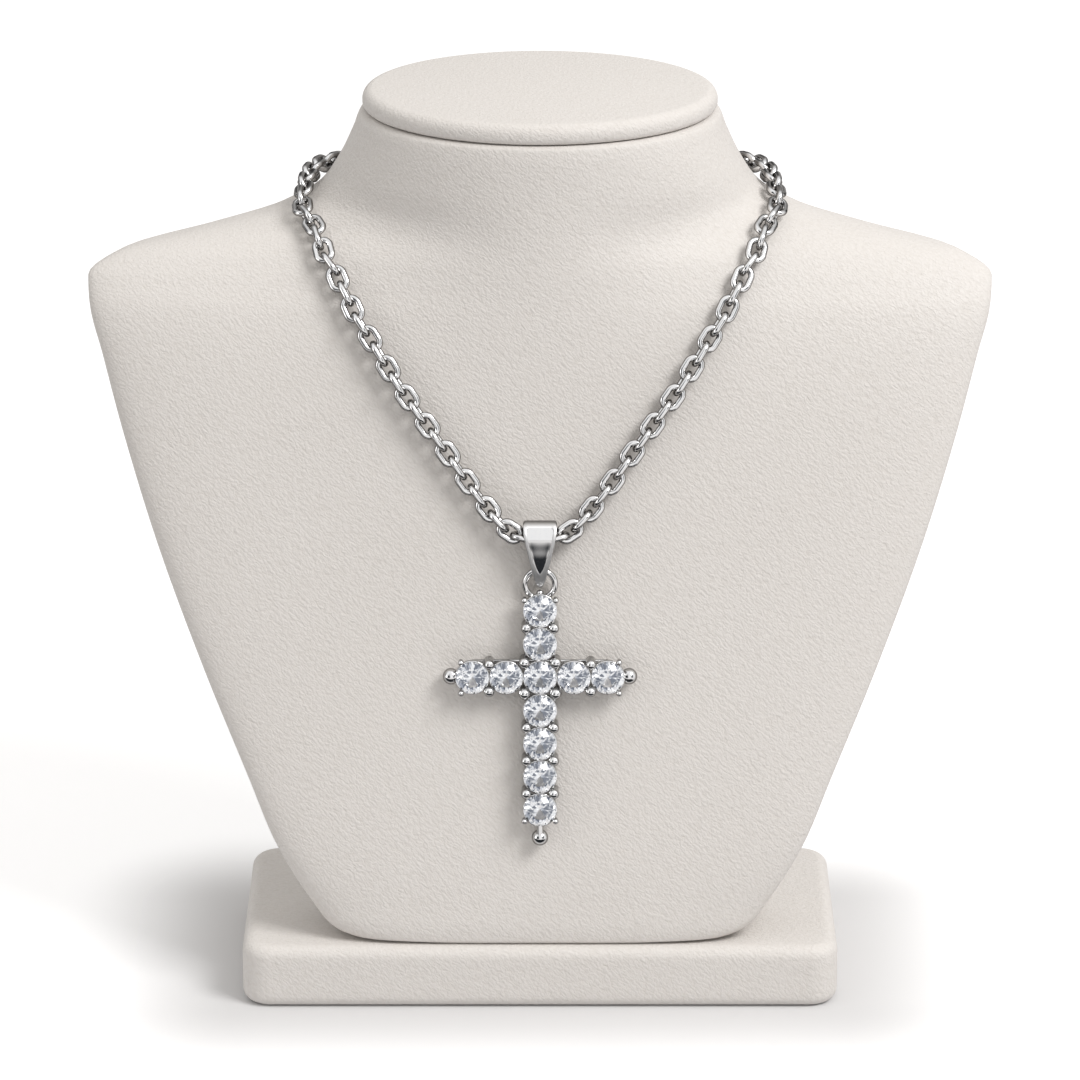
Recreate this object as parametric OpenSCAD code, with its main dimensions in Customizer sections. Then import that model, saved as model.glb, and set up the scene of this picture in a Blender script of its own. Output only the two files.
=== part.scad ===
/* [Base] */
// Width of the base slab
base_w = 166; // [150:1:200]
// Depth of the base slab
base_d = 78; // [66:1:100]
// Height of the base slab
base_h = 18; // [12:0.5:30]
// Radius of the base's upright corners
base_corner_r = 8; // [5:0.5:14]
// Radius of the base's long edges
base_edge_r = 3.5; // [1:0.25:4.5]

/* [Bust] */
// Width of the bust across the shoulders
bust_w = 252; // [225:1:280]
// Height of the bust from the base to the top of the neck
bust_h = 222; // [200:1:245]
// Depth of the bust from the foot of the chest to the back of the neck
bust_d = 114; // [100:1:128]
// Distance from the front of the base to the foot of the chest
bust_setback = 2.2; // [0:0.1:6]
// Thickness of the cap on the neck
cap_t = 6.5; // [4:0.25:9]

/* [Chain] */
// Outer length of a link
link_l = 8.15; // [7.9:0.05:9]
// Outer width of a link
link_w = 6; // [5.6:0.1:6.6]
// Thickness of a link's wire
link_wire = 1.45; // [1.2:0.05:1.5]
// Length of the plain clasp over its two eyes
clasp_l = 20; // [14:0.5:26]

/* [Bail and ring] */
// Width of the bail at its top
bail_w = 9.3; // [8.8:0.1:11]
// Height of the bail
bail_h = 18.9; // [17.5:0.1:21]
// Depth of the bail from back to front
bail_d = 8.5; // [8.5:0.1:9.5]
// Outer diameter of the jump ring
ring_d = 9.9; // [9:0.1:11]
// Thickness of the jump ring's wire
ring_wire = 1.65; // [1.2:0.05:1.8]

/* [Cross] */
// Diameter of a stone
stone_d = 8.9; // [7.5:0.1:9.2]
// Distance between the middles of two stones
stone_pitch = 9.3; // [9:0.1:10.5]
// Diameter of the beads between two stones
bead_d = 2.9; // [2.2:0.1:3.1]
// Diameter of the balls at the ends of the cross
ball_d = 4.6; // [3.6:0.1:5.2]

/* [Hidden] */
$fn = 72;
// Clearance between pieces that rest on one another
rest_gap = 0.3;

// Sections of the bust, from its foot to the top of its neck. A row holds:
// height, share of bust_h; half width, share of bust_w; then the front, the widest line and the back,
// each a depth from the foot of the chest as a share of bust_d; then how square the front and the back are,
// and how far the front beside the throat falls back.
HEIGHT = 0;
HALF_WIDTH = 1;
FRONT = 2;
WIDEST = 3;
BACK = 4;
SQUARE_FRONT = 5;
SQUARE_BACK = 6;
THROAT = 7;
body_sections = [
    [0.000, 0.168, 0.010, 0.120, 0.310, 5.00, 5.00, 0.00],
    [0.004, 0.210, 0.002, 0.112, 0.320, 5.00, 5.00, 0.00],
    [0.018, 0.234, 0.000, 0.112, 0.330, 5.00, 5.00, 0.00],
    [0.045, 0.252, 0.004, 0.112, 0.340, 5.00, 5.00, 0.00],
    [0.080, 0.272, 0.011, 0.121, 0.350, 5.50, 5.00, 0.00],
    [0.129, 0.295, 0.023, 0.130, 0.360, 6.00, 5.00, 0.00],
    [0.199, 0.319, 0.042, 0.147, 0.370, 6.50, 5.00, 0.00],
    [0.338, 0.368, 0.082, 0.191, 0.420, 6.40, 5.00, 0.00],
    [0.498, 0.419, 0.126, 0.240, 0.480, 5.60, 4.00, 0.04],
    [0.637, 0.456, 0.160, 0.280, 0.570, 4.20, 2.60, 0.14],
    [0.727, 0.477, 0.178, 0.315, 0.640, 3.40, 2.10, 0.26],
    [0.786, 0.491, 0.190, 0.350, 0.710, 2.90, 1.80, 0.38],
    [0.816, 0.493, 0.196, 0.385, 0.760, 2.40, 1.70, 0.45],
    [0.840, 0.460, 0.200, 0.428, 0.810, 2.20, 1.70, 0.47],
    [0.856, 0.390, 0.203, 0.465, 0.850, 2.15, 1.70, 0.47],
    [0.876, 0.300, 0.206, 0.530, 0.910, 2.10, 1.80, 0.40],
    [0.901, 0.246, 0.209, 0.585, 0.970, 2.05, 2.00, 0.22],
    [0.936, 0.222, 0.212, 0.602, 0.995, 2.05, 2.05, 0.05],
    [0.976, 0.205, 0.213, 0.604, 0.995, 2.05, 2.05, 0.00],
    [0.996, 0.198, 0.217, 0.604, 0.990, 2.05, 2.05, 0.00],
    [1.000, 0.192, 0.226, 0.604, 0.980, 2.05, 2.05, 0.00]
];
last_section = len(body_sections) - 1;
// Where the bust stands
body_foot_z = base_h + rest_gap;
chest_foot_y = bust_setback - base_d / 2;

// Steepness of one column at section i, kept from overshooting
function steepness(i, col) =
    i == 0 ? rise(0, col)
    : i == last_section ? rise(last_section - 1, col)
    : let (below = rise(i - 1, col), above = rise(i, col))
      below * above <= 0 ? 0 : 2 * below * above / (below + above);
function rise(i, col) =
    (body_sections[i + 1][col] - body_sections[i][col])
    / (body_sections[i + 1][HEIGHT] - body_sections[i][HEIGHT]);
section_slopes = [for (i = [0:last_section]) [for (col = [0:THROAT]) steepness(i, col)]];
section_heights = [for (row = body_sections) row[HEIGHT]];

// Number of sections at or below a height share
function sections_below(t) = len([for (h = section_heights) if (h <= t) 1]);
// Smoothly interpolated row of the table at a height share
function section_at(t) =
    let (at = max(0, min(1, t)),
         i = min(last_section - 1, sections_below(at) - 1),
         span = body_sections[i + 1][HEIGHT] - body_sections[i][HEIGHT],
         u = (at - body_sections[i][HEIGHT]) / span)
    (1 + 2 * u) * pow(1 - u, 2) * body_sections[i]
    + u * pow(1 - u, 2) * span * section_slopes[i]
    + u * u * (3 - 2 * u) * body_sections[i + 1]
    + u * u * (u - 1) * span * section_slopes[i + 1];

// Half width of the throat as a share of bust_w
throat_share = 0.31;
// Point on the bust at an angle round it, 0 at the front and 90 at the right side, and a height share
function body_point(angle, t, row = undef) =
    let (s = row == undef ? section_at(t) : row,
         front = cos(angle) >= 0,
         square = front ? s[SQUARE_FRONT] : s[SQUARE_BACK],
         aside = min(1, s[HALF_WIDTH] * abs(sin(angle)) / throat_share),
         fall = front ? s[THROAT] * (1 - cos(180 * aside)) / 2 : 0,
         bulge = pow(max(0, 1 - pow(abs(sin(angle)), square)), 1 / square) * (1 - fall),
         reach = front ? s[FRONT] - s[WIDEST] : s[BACK] - s[WIDEST])
    [bust_w * s[HALF_WIDTH] * sin(angle),
     chest_foot_y + bust_d * (s[WIDEST] + reach * bulge),
     body_foot_z + bust_h * t];
// Outward direction there, from four points close by
near_angle = 3;
near_height = 0.009;
function body_normal(angle, t) =
    let (across = body_point(angle + near_angle, t) - body_point(angle - near_angle, t),
         along = body_point(angle, min(1, t + near_height)) - body_point(angle, t - near_height),
         n = cross(across, along))
    n / norm(n);

// Closed skin over rings of points, each ring with the same count, from the bottom ring to the top one
function ring_faces(rings, count) =
    concat(
        [for (r = [0:rings - 2], k = [0:count - 1])
            let (a = r * count + k, b = r * count + (k + 1) % count)
            [a, a + count, b + count, b]],
        [[for (k = [0:count - 1]) k]],
        [[for (k = [count - 1:-1:0]) (rings - 1) * count + k]]
    );
module skin(rings) {
    polyhedron(
        points = [for (ring = rings, p = ring) p],
        faces = ring_faces(len(rings), len(rings[0])),
        convexity = 6
    );
}

// Angles round a section, closer together over the front than over the back
front_step = 6;
back_step = 15;
body_angles = concat(
    [for (a = [-90:front_step:90]) a],
    [for (a = [90 + back_step:back_step:270 - back_step]) a]
);
// Height shares of the bust's rings, with one more between two rows from the upper chest up
fine_from = 0.6;
body_heights = concat(
    [for (i = [0:last_section - 1])
        let (h = section_heights[i], next = section_heights[i + 1], parts = h > fine_from ? 2 : 1)
        for (k = [0:parts - 1]) h + (next - h) * k / parts],
    [1]
);

module display_bust() {
    color("antiquewhite")
    skin([
        for (t = body_heights)
            let (s = section_at(t))
            [for (a = body_angles) body_point(a, t, s)]
    ]);
}

// Radii of the cap's lower and upper edges and the rise of its top
cap_foot_r = cap_t * 0.22;
cap_top_r = cap_t * 0.45;
cap_crown = cap_t * 0.14;
cap_points = 36;
// How far the cap stands out over the neck
cap_over = 0.5;
// Rings of the cap as an inset and a height
cap_profile = concat(
    [for (a = [0:45:90]) [cap_foot_r * (1 - sin(a)), cap_foot_r * (1 - cos(a))]],
    [for (a = [0:30:90]) [cap_top_r * (1 - cos(a)), cap_t - cap_crown - cap_top_r * (1 - sin(a))]],
    [[cap_top_r * 4, cap_t - cap_crown * 0.45], [cap_top_r * 9, cap_t]]
);

module neck_cap() {
    neck = section_at(1);
    half_w = bust_w * neck[HALF_WIDTH] + cap_over;
    half_d = bust_d * (neck[BACK] - neck[FRONT]) / 2 + cap_over;
    middle_y = chest_foot_y + bust_d * (neck[BACK] + neck[FRONT]) / 2;
    color("antiquewhite")
    translate([0, middle_y, body_foot_z + bust_h + rest_gap])
    skin([
        for (ring = cap_profile)
            [for (k = [0:cap_points - 1])
                let (a = 360 * k / cap_points)
                [(half_w - ring[0]) * cos(a), (half_d - ring[0]) * sin(a), ring[1]]]
    ]);
}

// Upright edge profile of the base slab, reaching out from the line x = 0
module slab_profile(reach) {
    square([reach - base_edge_r, base_h]);
    translate([reach - 2 * base_edge_r, base_edge_r])
        square([2 * base_edge_r, base_h - 2 * base_edge_r]);
    for (z = [base_edge_r, base_h - base_edge_r])
        translate([reach - base_edge_r, z]) circle(base_edge_r);
}

module display_base() {
    inner_w = base_w - 2 * base_corner_r;
    inner_d = base_d - 2 * base_corner_r;
    color("antiquewhite") {
        for (sx = [-1, 1], sy = [-1, 1])
            translate([sx * inner_w / 2, sy * inner_d / 2, 0])
                rotate([0, 0, sy > 0 ? (sx > 0 ? 0 : 90) : (sx > 0 ? 270 : 180)])
                    rotate_extrude(angle = 90) slab_profile(base_corner_r);
        for (turn = [0, 180]) {
            rotate([0, 0, turn]) translate([inner_w / 2, inner_d / 2, 0]) rotate([90, 0, 0])
                linear_extrude(inner_d) slab_profile(base_corner_r);
            rotate([0, 0, turn]) translate([-inner_w / 2, inner_d / 2, 0])
                rotate([90, 0, 90]) linear_extrude(inner_w) slab_profile(base_corner_r);
        }
        translate([-inner_w / 2, -inner_d / 2, 0]) cube([inner_w, inner_d, base_h]);
    }
}

// The pendant lies on the flat of the chest, which leans back between these two heights
flat_low_t = 0.199;
flat_high_t = 0.498;
flat_low = body_point(0, flat_low_t);
flat_high = body_point(0, flat_high_t);
chest_lean = atan2(flat_high[1] - flat_low[1], flat_high[2] - flat_low[2]);
// Pendant frame: x across, y up the chest from flat_low, z out from it
module on_chest() {
    translate(flat_low) rotate([90 - chest_lean, 0, 0]) children();
}
function chest_place(p) =
    flat_low + [p[0],
                p[1] * sin(chest_lean) - p[2] * cos(chest_lean),
                p[1] * cos(chest_lean) + p[2] * sin(chest_lean)];

// Stones above and below the crossing and on each arm
stones_above = 2;
stones_below = 4;
stones_aside = 2;
// Depth of a stone: girdle, crown, table and pavilion as shares of its diameter
girdle_share = 0.028;
crown_share = 0.162;
table_share = 0.57;
pavilion_share = 0.41;
stone_gap = 0.14;
// Heights off the chest: the culet over the setting's underside, the girdle, then the collar round the
// pavilion, which starts at a share of its depth and ends below the girdle
culet_lift = 1.3;
culet_z = rest_gap + culet_lift;
girdle_z = culet_z + pavilion_share * stone_d;
girdle_top_z = girdle_z + girdle_share * stone_d;
collar_overlap = 0.1;
collar_low_share = 0.46;
collar_below_girdle = 0.25;
collar_r = stone_pitch / 2 + collar_overlap;
collar_low_z = culet_z + collar_low_share * (girdle_z - culet_z);
collar_high_z = girdle_z - collar_below_girdle;

// Lug behind the top stone, bored across for the jump ring
lug_play = 0.22;
lug_wall = 0.5;
lug_bore_r = ring_wire / 2 + lug_play;
lug_r = lug_bore_r + lug_wall;
lug_w = 1.7;
lug_z = rest_gap + lug_r;
lug_above_stone = 3.05;

// Heights up the chest from flat_low, worked down from the chain's line through the bail, which is a share
// of the flat's length. The line runs a link's half width and a little slack below the hollow's top.
hang_share = 1.0675;
chain_slack = 0.4;
chain_y = hang_share * norm(flat_high - flat_low);
// Bail, seen from the side: a large circle at the top and a small one at the tip
bail_wall = 0.85;
bail_crown_wall = 1.55;
bail_top_r = bail_d / 2;
bail_tip_r = 1.1;
bail_tip_back = 0.45;
bail_seat_share = 0.2;
bail_top_y = chain_y + chain_slack + link_w / 2 + bail_crown_wall;
bail_tip_y = bail_top_y - bail_h;
bail_seat_y = bail_tip_y + bail_h * bail_seat_share;
bail_axis_z = rest_gap + bail_top_r;
bail_hollow_r = bail_top_r - bail_wall;
bail_play = 0.25;
bail_seat_r = ring_wire / 2 + bail_play;
// The ring hangs in the bail's tip and leans back into the lug
ring_r = (ring_d - ring_wire) / 2;
ring_lean = 11;
ring_z = lug_z + ring_r * sin(ring_lean);
ring_top_z = ring_z + ring_r * sin(ring_lean);
ring_top_y = bail_seat_y + rest_gap + ring_wire / 2;
ring_y = ring_top_y - ring_r * cos(ring_lean);
lug_y = ring_y - ring_r * cos(ring_lean);
// Stones, from the top one down
top_stone_y = lug_y - lug_above_stone;
crossing_y = top_stone_y - stones_above * stone_pitch;
foot_stone_y = crossing_y - stones_below * stone_pitch;

// Route of half of the chain, from the bail round to the back of the neck. A row holds the angle round
// the bust and the height share. The first height is worked out from the bail.
chain_start = chest_place([0, chain_y, 0]);
chain_start_t = (chain_start[2] - body_foot_z) / bust_h;
half_route = [
    [0, chain_start_t],
    [4.4, 0.527],
    [8.6, 0.568],
    [13.8, 0.637],
    [18.8, 0.706],
    [23.2, 0.777],
    [28.0, 0.834],
    [41.5, 0.862],
    [59.5, 0.878],
    [78, 0.892],
    [95, 0.899],
    [112, 0.903],
    [132, 0.903],
    [156, 0.901],
    [180, 0.900]
];
route_last = len(half_route) - 1;
// Route with one mirrored row before its start and one after its end
route_rows = concat(
    [[-half_route[1][0], half_route[1][1]]],
    half_route,
    [[360 - half_route[route_last - 1][0], half_route[route_last - 1][1]]]
);
function route_angles(u) =
    let (i = min(route_last - 1, floor(u)), f = u - i,
         a = route_rows[i], b = route_rows[i + 1], c = route_rows[i + 2], d = route_rows[i + 3])
    0.5 * (2 * b + (c - a) * f + (2 * a - 5 * b + 4 * c - d) * f * f + (3 * b - a - 3 * c + d) * pow(f, 3));
// A link that stands on edge clears the bust by rest_gap, and the chain lifts to the bail's middle
chain_lift = link_w / 2 + rest_gap;
bail_lift = bail_axis_z;
lift_rows = 2;
function lift_at(u) =
    let (near = max(0, 1 - u / lift_rows))
    chain_lift + (bail_lift - chain_lift) * near * near * (3 - 2 * near);
function route_point(u) =
    let (at = route_angles(u))
    body_point(at[0], at[1]) + lift_at(u) * body_normal(at[0], at[1]);

// Distance along the route at even steps, for placing links by length
route_steps = 30;
route_samples = [for (k = [0:route_last * route_steps]) route_point(k / route_steps)];
sample_count = len(route_samples);
route_lengths = [
    for (k = 0, s = 0; k < sample_count;
         k = k + 1, s = s + (k < sample_count ? norm(route_samples[k] - route_samples[k - 1]) : 0)) s
];
half_length = route_lengths[sample_count - 1];
length_lookup = [for (k = [0:sample_count - 1]) [route_lengths[k], k / route_steps]];
function route_at(s) = lookup(s, length_lookup);

// Links sit closer together beside the bail
link_gap = 0.45;
bunch_links = 4;
bunch_step = 0.45;
link_pitch_max = link_l - 2 * link_wire - link_gap;
clasp_eye_wire = 1.3;
clasp_slack = 0.5;
clasp_eye_r = link_wire / 2 + clasp_slack + clasp_eye_wire / 2;
clasp_eye_x = clasp_l / 2 - clasp_eye_r - clasp_eye_wire / 2;
clasp_reach = clasp_eye_x + link_l / 2 - link_wire / 2 + clasp_slack / 2;
links_aside = ceil((half_length - clasp_reach + bunch_links * bunch_step) / link_pitch_max);
link_pitch = (half_length - clasp_reach + bunch_links * bunch_step) / links_aside;
function link_place(i) = i * link_pitch - bunch_step * min(i, bunch_links);

// Frame of the link at distance s along the route, on side 1 or -1: centre, along, across and out
frame_step = 0.4;
function side_vector(v, side) = [v[0] * side, v[1], v[2]];
function link_frame(s, side) =
    let (u = route_at(s),
         at = route_angles(u),
         ahead = route_point(route_at(s + frame_step)),
         behind = s < frame_step ? side_vector(route_point(route_at(frame_step - s)), -1)
                                 : route_point(route_at(s - frame_step)),
         along = (ahead - behind) / norm(ahead - behind),
         out_raw = body_normal(at[0], at[1]),
         out_flat = out_raw - (out_raw * along) * along,
         out = out_flat / norm(out_flat),
         across = cross(out, along))
    [side_vector(route_point(u), side), side_vector(along, side), side * side_vector(across, side),
     side_vector(out, side)];

// One link: a long loop with round ends, swept by a five-sided wire
link_end_turns = [-72, -36, 0, 36, 72];
wire_sides = 5;
wire_r = link_wire / 2;
end_r = link_w / 2 - wire_r;
end_x = link_l / 2 - link_w / 2;
link_stations = concat(
    [for (a = link_end_turns) [end_x, 0, a]],
    [[0, 0, 90]],
    [for (a = link_end_turns) [-end_x, 0, a + 180]],
    [[0, 0, 270]]
);
link_ring = [
    for (st = link_stations)
        [for (k = [0:wire_sides - 1])
            let (w = 360 * k / wire_sides, r = end_r + wire_r * cos(w))
            [st[0] + r * cos(st[2]), r * sin(st[2]), wire_r * sin(w)]]
];
stations = len(link_ring);
// The points of one link placed in its frame, every second link turned on edge
function link_points(i, side) =
    let (f = link_frame(link_place(i), side), on_edge = i % 2 == 1,
         wide = on_edge ? f[3] : f[2], thick = on_edge ? -f[2] : f[3])
    [for (ring = link_ring, p = ring) f[0] + p[0] * f[1] + p[1] * wide + p[2] * thick];
link_faces = [
    for (r = [0:stations - 1], k = [0:wire_sides - 1])
        let (a = r * wire_sides + k, b = r * wire_sides + (k + 1) % wire_sides,
             c = ((r + 1) % stations) * wire_sides + (k + 1) % wire_sides,
             d = ((r + 1) % stations) * wire_sides + k)
        [a, b, c, d]
];
link_size = stations * wire_sides;

module chain(first, last, side) {
    polyhedron(
        points = [for (i = [first:last], p = link_points(i, side)) p],
        faces = [for (i = [0:last - first], f = link_faces) [for (v = f) v + i * link_size]],
        convexity = 10
    );
}
module chain_left() {
    color("silver") chain(0, links_aside, -1);
}
module chain_right() {
    color("silver") chain(1, links_aside, 1);
}

// Plain closed clasp behind the neck: a barrel with an eye at each end for the last links
clasp_r = 1.9;
module clasp() {
    at = half_route[route_last];
    out = body_normal(at[0], at[1]);
    pitch_back = atan2(out[2], out[1]);
    eye = route_point(route_at(half_length - clasp_eye_x));
    color("silver")
    translate([0, eye[1], eye[2]]) rotate([pitch_back, 0, 0])
    rotate([links_aside % 2 == 0 ? 0 : 90, 0, 0]) {
        rotate([0, 90, 0])
            cylinder(r = clasp_r, h = 2 * (clasp_eye_x - clasp_eye_r), center = true);
        for (side = [-1, 1])
            translate([side * clasp_eye_x, 0, 0])
                rotate_extrude() translate([clasp_eye_r, 0]) circle(clasp_eye_wire / 2);
    }
}

// Outline round a large circle and a small one, as points, with both radii drawn in by an inset
outline_turns = 12;
function teardrop(big, big_r, small, small_r, inset) =
    let (d = small - big,
         apart = norm(d),
         heading = atan2(d[1], d[0]),
         open = acos((big_r - small_r) / apart))
    concat(
        [for (k = [0:outline_turns])
            let (a = heading + open + (360 - 2 * open) * k / outline_turns)
            big + (big_r - inset) * [cos(a), sin(a)]],
        [for (k = [0:outline_turns])
            let (a = heading - open + 2 * open * k / outline_turns)
            small + (small_r - inset) * [cos(a), sin(a)]]
    );
// Circles of the bail's side view, as points out from the chest and up it
bail_big = [bail_axis_z, bail_top_y - bail_top_r];
bail_small = [ring_top_z - bail_tip_back, bail_tip_y + bail_tip_r];
hollow_big = [bail_axis_z, bail_top_y - bail_crown_wall - bail_hollow_r];
hollow_small = [ring_top_z, bail_seat_y + bail_seat_r];

// Half of the bail's front outline: half width, share of bail_w / 2, and height, share of bail_h
bail_front = [[0, 1.01], [0.6, 1.005], [0.88, 0.985], [0.98, 0.95], [1, 0.90], [0.73, 0.50], [0.49, 0.22],
              [0.36, 0.11], [0.20, 0.03], [0, -0.01]];
// Half of the outline of the sunken panel on its front, in the same shares
bail_panel = [[0, 0.925], [0.5, 0.92], [0.80, 0.90], [0.56, 0.58], [0.24, 0.30], [0, 0.22]];
panel_depth = 0.25;

function both_halves(half) =
    concat(
        [for (p = half) [p[0] * bail_w / 2, p[1] * bail_h]],
        [for (i = [len(half) - 2:-1:1]) [-half[i][0] * bail_w / 2, half[i][1] * bail_h]]
    );
// A side view outline carried across the whole width, and a front outline carried through the depth
module across_bail(points) {
    rotate([90, 0, 90]) translate([0, 0, -bail_w]) linear_extrude(2 * bail_w)
        polygon([for (p = points) [p[1], p[0]]]);
}
module through_bail(half) {
    translate([0, bail_tip_y, -bail_d]) linear_extrude(3 * bail_d) polygon(both_halves(half));
}

module ring_shape(wire_r) {
    translate([0, ring_y, ring_z]) rotate([ring_lean, 0, 0])
        rotate_extrude() translate([ring_r, 0]) circle(wire_r);
}

module bail() {
    color("silver") on_chest() difference() {
        intersection() {
            across_bail(teardrop(bail_big, bail_top_r, bail_small, bail_tip_r, 0));
            through_bail(bail_front);
        }
        across_bail(teardrop(hollow_big, bail_hollow_r, hollow_small, bail_seat_r, 0));
        ring_shape(bail_seat_r);
        intersection() {
            through_bail(bail_panel);
            translate([-bail_w, bail_tip_y, bail_axis_z]) cube([2 * bail_w, 2 * bail_h, bail_d]);
            difference() {
                across_bail(teardrop(bail_big, bail_top_r + 1, bail_small, bail_tip_r + 1, 0));
                across_bail(teardrop(bail_big, bail_top_r, bail_small, bail_tip_r, panel_depth));
            }
        }
    }
}

module jump_ring() {
    color("silver") on_chest() ring_shape(ring_wire / 2);
}

// Middles of the stones: up the upright from the foot, then along the arms
stone_places = concat(
    [for (i = [0:stones_below + stones_above]) [0, foot_stone_y + i * stone_pitch]],
    [for (side = [-1, 1], i = [1:stones_aside]) [side * i * stone_pitch, crossing_y]]
);
bead_r = bead_d / 2;
post_r = bead_r - 0.05;
// Posts that carry the beads: a pair across each gap, four round the crossing. They reach into the collars.
post_into_collar = 0.15;
corner_into_collar = 0.07;
bead_aside = sqrt(pow(collar_r + post_r - post_into_collar, 2) - pow(stone_pitch / 2, 2));
corner_aside = (collar_r + post_r - corner_into_collar) * sin(45);
gap_posts = concat(
    [for (i = [0:stones_below + stones_above - 1], side = [-1, 1])
        if (i != stones_below && i != stones_below - 1)
            [side * bead_aside, foot_stone_y + (i + 0.5) * stone_pitch]],
    [for (side = [-1, 1], i = [1:1:stones_aside - 1], up = [-1, 1])
        [side * (i + 0.5) * stone_pitch, crossing_y + up * bead_aside]]
);
corner_posts = [for (sx = [-1, 1], sy = [-1, 1]) [sx * corner_aside, crossing_y + sy * corner_aside]];
// Small prongs on the outer side of each end stone, set at an angle from the line of the arm
end_prong_r = 0.65;
end_prong_out = 0.55;
end_prong_turn = 54;
end_prong_reach = collar_r + end_prong_out;
end_stones = [[0, foot_stone_y, 270], [0, top_stone_y, 90], [stones_aside * stone_pitch, crossing_y, 0],
              [-stones_aside * stone_pitch, crossing_y, 180]];
end_prongs = [
    for (e = end_stones, side = [-1, 1])
        let (turn = e[2] + side * end_prong_turn)
            [e[0], e[1]] + end_prong_reach * [cos(turn), sin(turn)]
];
// Balls beyond the foot and the arms
ball_lift = 0.4;
ball_out = 1.2;
foot_extra = 2.4;
ball_z = rest_gap + ball_d / 2 + ball_lift;
arm_reach = stone_pitch / 2 + ball_out;
foot_reach = arm_reach + foot_extra;
ball_stem_r = 0.9;
ball_stem_in = 0.3;
ball_stem_z = collar_low_z + ball_stem_r;

module stone_collar() {
    seat_gap = stone_gap / cos(atan(2 * pavilion_share));
    inner_low = (collar_low_z + seat_gap - culet_z) / (2 * pavilion_share) + seat_gap;
    inner_high = (collar_high_z - culet_z) / (2 * pavilion_share) + seat_gap;
    rotate_extrude() polygon([
        [inner_low, collar_low_z],
        [collar_r, collar_low_z],
        [collar_r, collar_high_z],
        [inner_high, collar_high_z]
    ]);
}
// Post from a height up to a bead, whose middle lies over the girdle
module bead_post(stem_r, head_r, from_z, over) {
    head_z = girdle_top_z + over;
    translate([0, 0, from_z]) cylinder(r = stem_r, h = head_z - from_z);
    translate([0, 0, head_z]) sphere(head_r);
}

corner_bead_r = bead_r + 0.15;
end_bead_r = end_prong_r + 0.15;
// Middles of the beads over the top of the girdle
bead_over = 0.3;
corner_bead_over = 0.5;
end_bead_over = 0.35;
// Rails under the rows of stones
rail_w = 0.9;
rail_h = 0.9;
module cross_setting() {
    color("silver") on_chest() {
        for (p = stone_places) translate(p) stone_collar();
        for (p = gap_posts) translate(p) bead_post(post_r, bead_r, rest_gap, bead_over);
        for (p = corner_posts) translate(p) bead_post(post_r, corner_bead_r, rest_gap, corner_bead_over);
        for (p = end_prongs) translate(p) bead_post(end_prong_r, end_bead_r, collar_low_z, end_bead_over);
        for (side = [-1, 1]) {
            translate([side * bead_aside - rail_w / 2, foot_stone_y, rest_gap])
                cube([rail_w, (stones_below + stones_above) * stone_pitch, rail_h]);
            translate([-stones_aside * stone_pitch, crossing_y + side * bead_aside - rail_w / 2, rest_gap])
                cube([2 * stones_aside * stone_pitch, rail_w, rail_h]);
        }
        translate([0, foot_stone_y, 0]) end_ball(270, foot_reach);
        for (side = [-1, 1])
            translate([side * stones_aside * stone_pitch, crossing_y, 0])
                end_ball(side > 0 ? 0 : 180, arm_reach);
        top_lug();
    }
}
// Ball beyond an end stone, on a short stem from inside the stone's collar
module end_ball(turn, reach) {
    stem_start = collar_r - ball_stem_in;
    rotate([0, 0, turn]) {
        translate([reach, 0, ball_z]) sphere(ball_d / 2);
        translate([stem_start, 0, ball_stem_z]) rotate([0, 90, 0])
            cylinder(r = ball_stem_r, h = reach - stem_start);
    }
}
// The lug is bored across and carries a small ball
lug_ball_r = 0.95;
lug_ball_in = 0.1;
lug_ball_lift = 0.3;
module top_lug() {
    difference() {
        union() {
            translate([0, lug_y, lug_z]) rotate([0, 90, 0])
                cylinder(r = lug_r, h = lug_w, center = true);
            translate([0, lug_y + lug_r - lug_ball_in, lug_z + lug_ball_lift]) sphere(lug_ball_r);
        }
        translate([0, lug_y, lug_z]) rotate([0, 90, 0])
            cylinder(r = lug_bore_r, h = 2 * lug_w, center = true);
    }
}

// Where the facets meet on the crown and on the pavilion, as shares of the radius and of the height
crown_meet_r = 0.79;
crown_meet_z = 0.52;
pavilion_meet_r = 0.24;
pavilion_meet_z = 0.22;
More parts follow.
